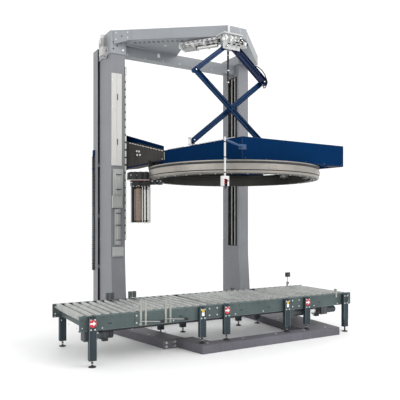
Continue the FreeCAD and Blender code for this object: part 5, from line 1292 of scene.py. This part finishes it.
def energy_chain():
    """The black cable chain that hangs beside the duct behind the left column."""
    piece = Piece(BLACK, "carriage_blue")
    x, y = low("left_column_rear_cover").x - 22 * MM, high("left_column_rear_cover").y - 60 * MM
    pitch = 34 * MM
    for i in range(60):
        z = 0.95 + i * pitch
        wide = 20 * MM if i % 2 else 17 * MM
        blue = i % 9 == 8
        piece.block((x - wide, y - 26 * MM, z), (x + wide, y + 26 * MM, z + pitch * 0.82), int(blue))
    piece.block(off((x, y, 2.99), -4, -32), off((x, y, 3.1), 26, 32), 1)
    piece.finish("energy_chain", "frame", "sensor_black", 1.2)


def opening_details():
    """Guide bars and a black sheet of painted shade inside each column's tall opening."""
    piece = Piece("roller_alu", WHITE, SHADOW)
    faces = ((high("left_column").x - 55 * MM, -1), (low("right_column").x + 55 * MM, 1))
    for face, inward in faces:
        for y, width in ((1585, 14), (1690, 14)):
            p = at(0, y, 1360)
            p.x = face + inward * 25 * MM
            piece.bar(p, p + UP * 3.27, width, 14, 0, FRONT)
        # a black sheet of painted shade inside the opening
        shade_sheet = at(0, 1640, 1352)
        shade_sheet.x = face + inward * 0.12
        piece.bar(shade_sheet, shade_sheet + UP * 3.28, 4, 300, 2, FRONT)
    piece.finish("opening_details", "frame", "dark_steel", 0.6)


def base_details():
    """Weld seams, floor anchors and levelling screws on the base frame."""
    piece = Piece("base_paint", BRIGHT, BLACK)
    top = high("base_front_beam").z
    for x in (-900, -300, 300, 860, 1300):
        piece.bolt(at(x, -700, top / MM), UP, 1, 12, 9)
    for x, y in ((-1380, 200), (-1430, 700), (-1080, 250), (-1130, 650), (1150, 300), (1600, 300),
                 (1200, 900)):
        piece.bolt(at(x, y, top / MM), UP, 1, 12, 9)
    for p, q in (((-1037, -601), (-800, -601)), ((-1370, -250), (-880, -250)), ((925, -601), (925, 1300))):
        piece.rod(at(*p, top / MM + 1), at(*q, top / MM + 1), 4, 0, 8)
    for x in (-1320, -1180):
        for z in (32, 88):
            piece.bolt(at(x, -265, z), FRONT, 1, 12, 9)
    piece.finish("base_details", "frame", "base_paint", 0.6)


# ---------------------------------------------------------------- camera, floor and light
FLOOR_HALF = 40.0
CAMERA_OFFSET = (-4.734, -6.998)
CAMERA_HEIGHT = 1.8
CAMERA_TURN = -30.3
CAMERA_LENS = 47.63
CAMERA_SHIFT = (0.0047, 0.0565)


def camera():
    """A level camera at a standing person's eye, shifted rather than tilted."""
    data = bpy.data.cameras.new("camera")
    made = show("camera", data)
    data.sensor_width = 36.0
    data.lens = CAMERA_LENS
    data.shift_x, data.shift_y = CAMERA_SHIFT
    made.location = (RING_AXIS.x + CAMERA_OFFSET[0], RING_AXIS.y + CAMERA_OFFSET[1], CAMERA_HEIGHT)
    made.rotation_euler = (math.radians(90), 0, math.radians(CAMERA_TURN))
    bpy.context.scene.camera = made


def area_light(name, place, target, size, power):
    data = bpy.data.lights.new(name, "AREA")
    data.shape = "RECTANGLE"
    data.size, data.size_y = size
    data.energy = power
    made = show(name, data)
    made.location = place
    made.rotation_euler = (target - made.location).to_track_quat("-Z", "Y").to_euler()


def studio():
    """A pale floor, a white surround and two large soft lights."""
    mesh = bmesh.new()
    bmesh.ops.create_grid(mesh, x_segments=2, y_segments=2, size=FLOOR_HALF)
    data = bpy.data.meshes.new("floor")
    mesh.to_mesh(data)
    mesh.free()
    n = Nodes("floor_paint")
    clouds = n.noise(n.place(), 0.8, 3)
    n.finish(n.mix(clouds, (0.93, 0.93, 0.93), (0.97, 0.97, 0.97)), n.spread(clouds, 0, 1, 0.55, 0.7))
    data.materials.append(n.material)
    floor = show("floor", data)
    floor.location.z = low("base_front_beam").z
    floor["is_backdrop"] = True
    world = bpy.data.worlds.new("studio")
    world.use_nodes = True
    background = world.node_tree.nodes["Background"]
    background.inputs["Color"].default_value = (1, 1, 1, 1)
    background.inputs["Strength"].default_value = 1.1
    bpy.context.scene.world = world
    middle = Vector((0, 0, 2.4))
    area_light("key", (4.5, -8.5, 8.0), middle, (6, 5), 420)
    area_light("fill", (-8.0, -3.0, 5.0), middle, (6, 6), 60)
    bpy.context.scene.view_settings.view_transform = "Standard"


for build in (dress_nodes, column_bolts, rear_duct_trim, guide_strip, cover_trim, box_details,
              roller_chains, motors, conveyor_motor_details, rail_hardware, rail_edges, leg_hardware,
              arrow_signs, all_roller_caps, photocell_brackets, ring_trim, film_head, film_inner_drive,
              film_uprights, reel_ends, stretch_roller_ends, ring_guard, left_arm_details,
              right_arm_details, cover_details, side_beam_details, load_sensor, guide_hubs, press_pins,
              elbow_hose, slider_details, platen_details, press_trolley, press_hanger_details, beam_joints,
              gusset_slots, head_gear, energy_chain, opening_details, base_details, camera, studio):
    build()
write_size("with_looks")
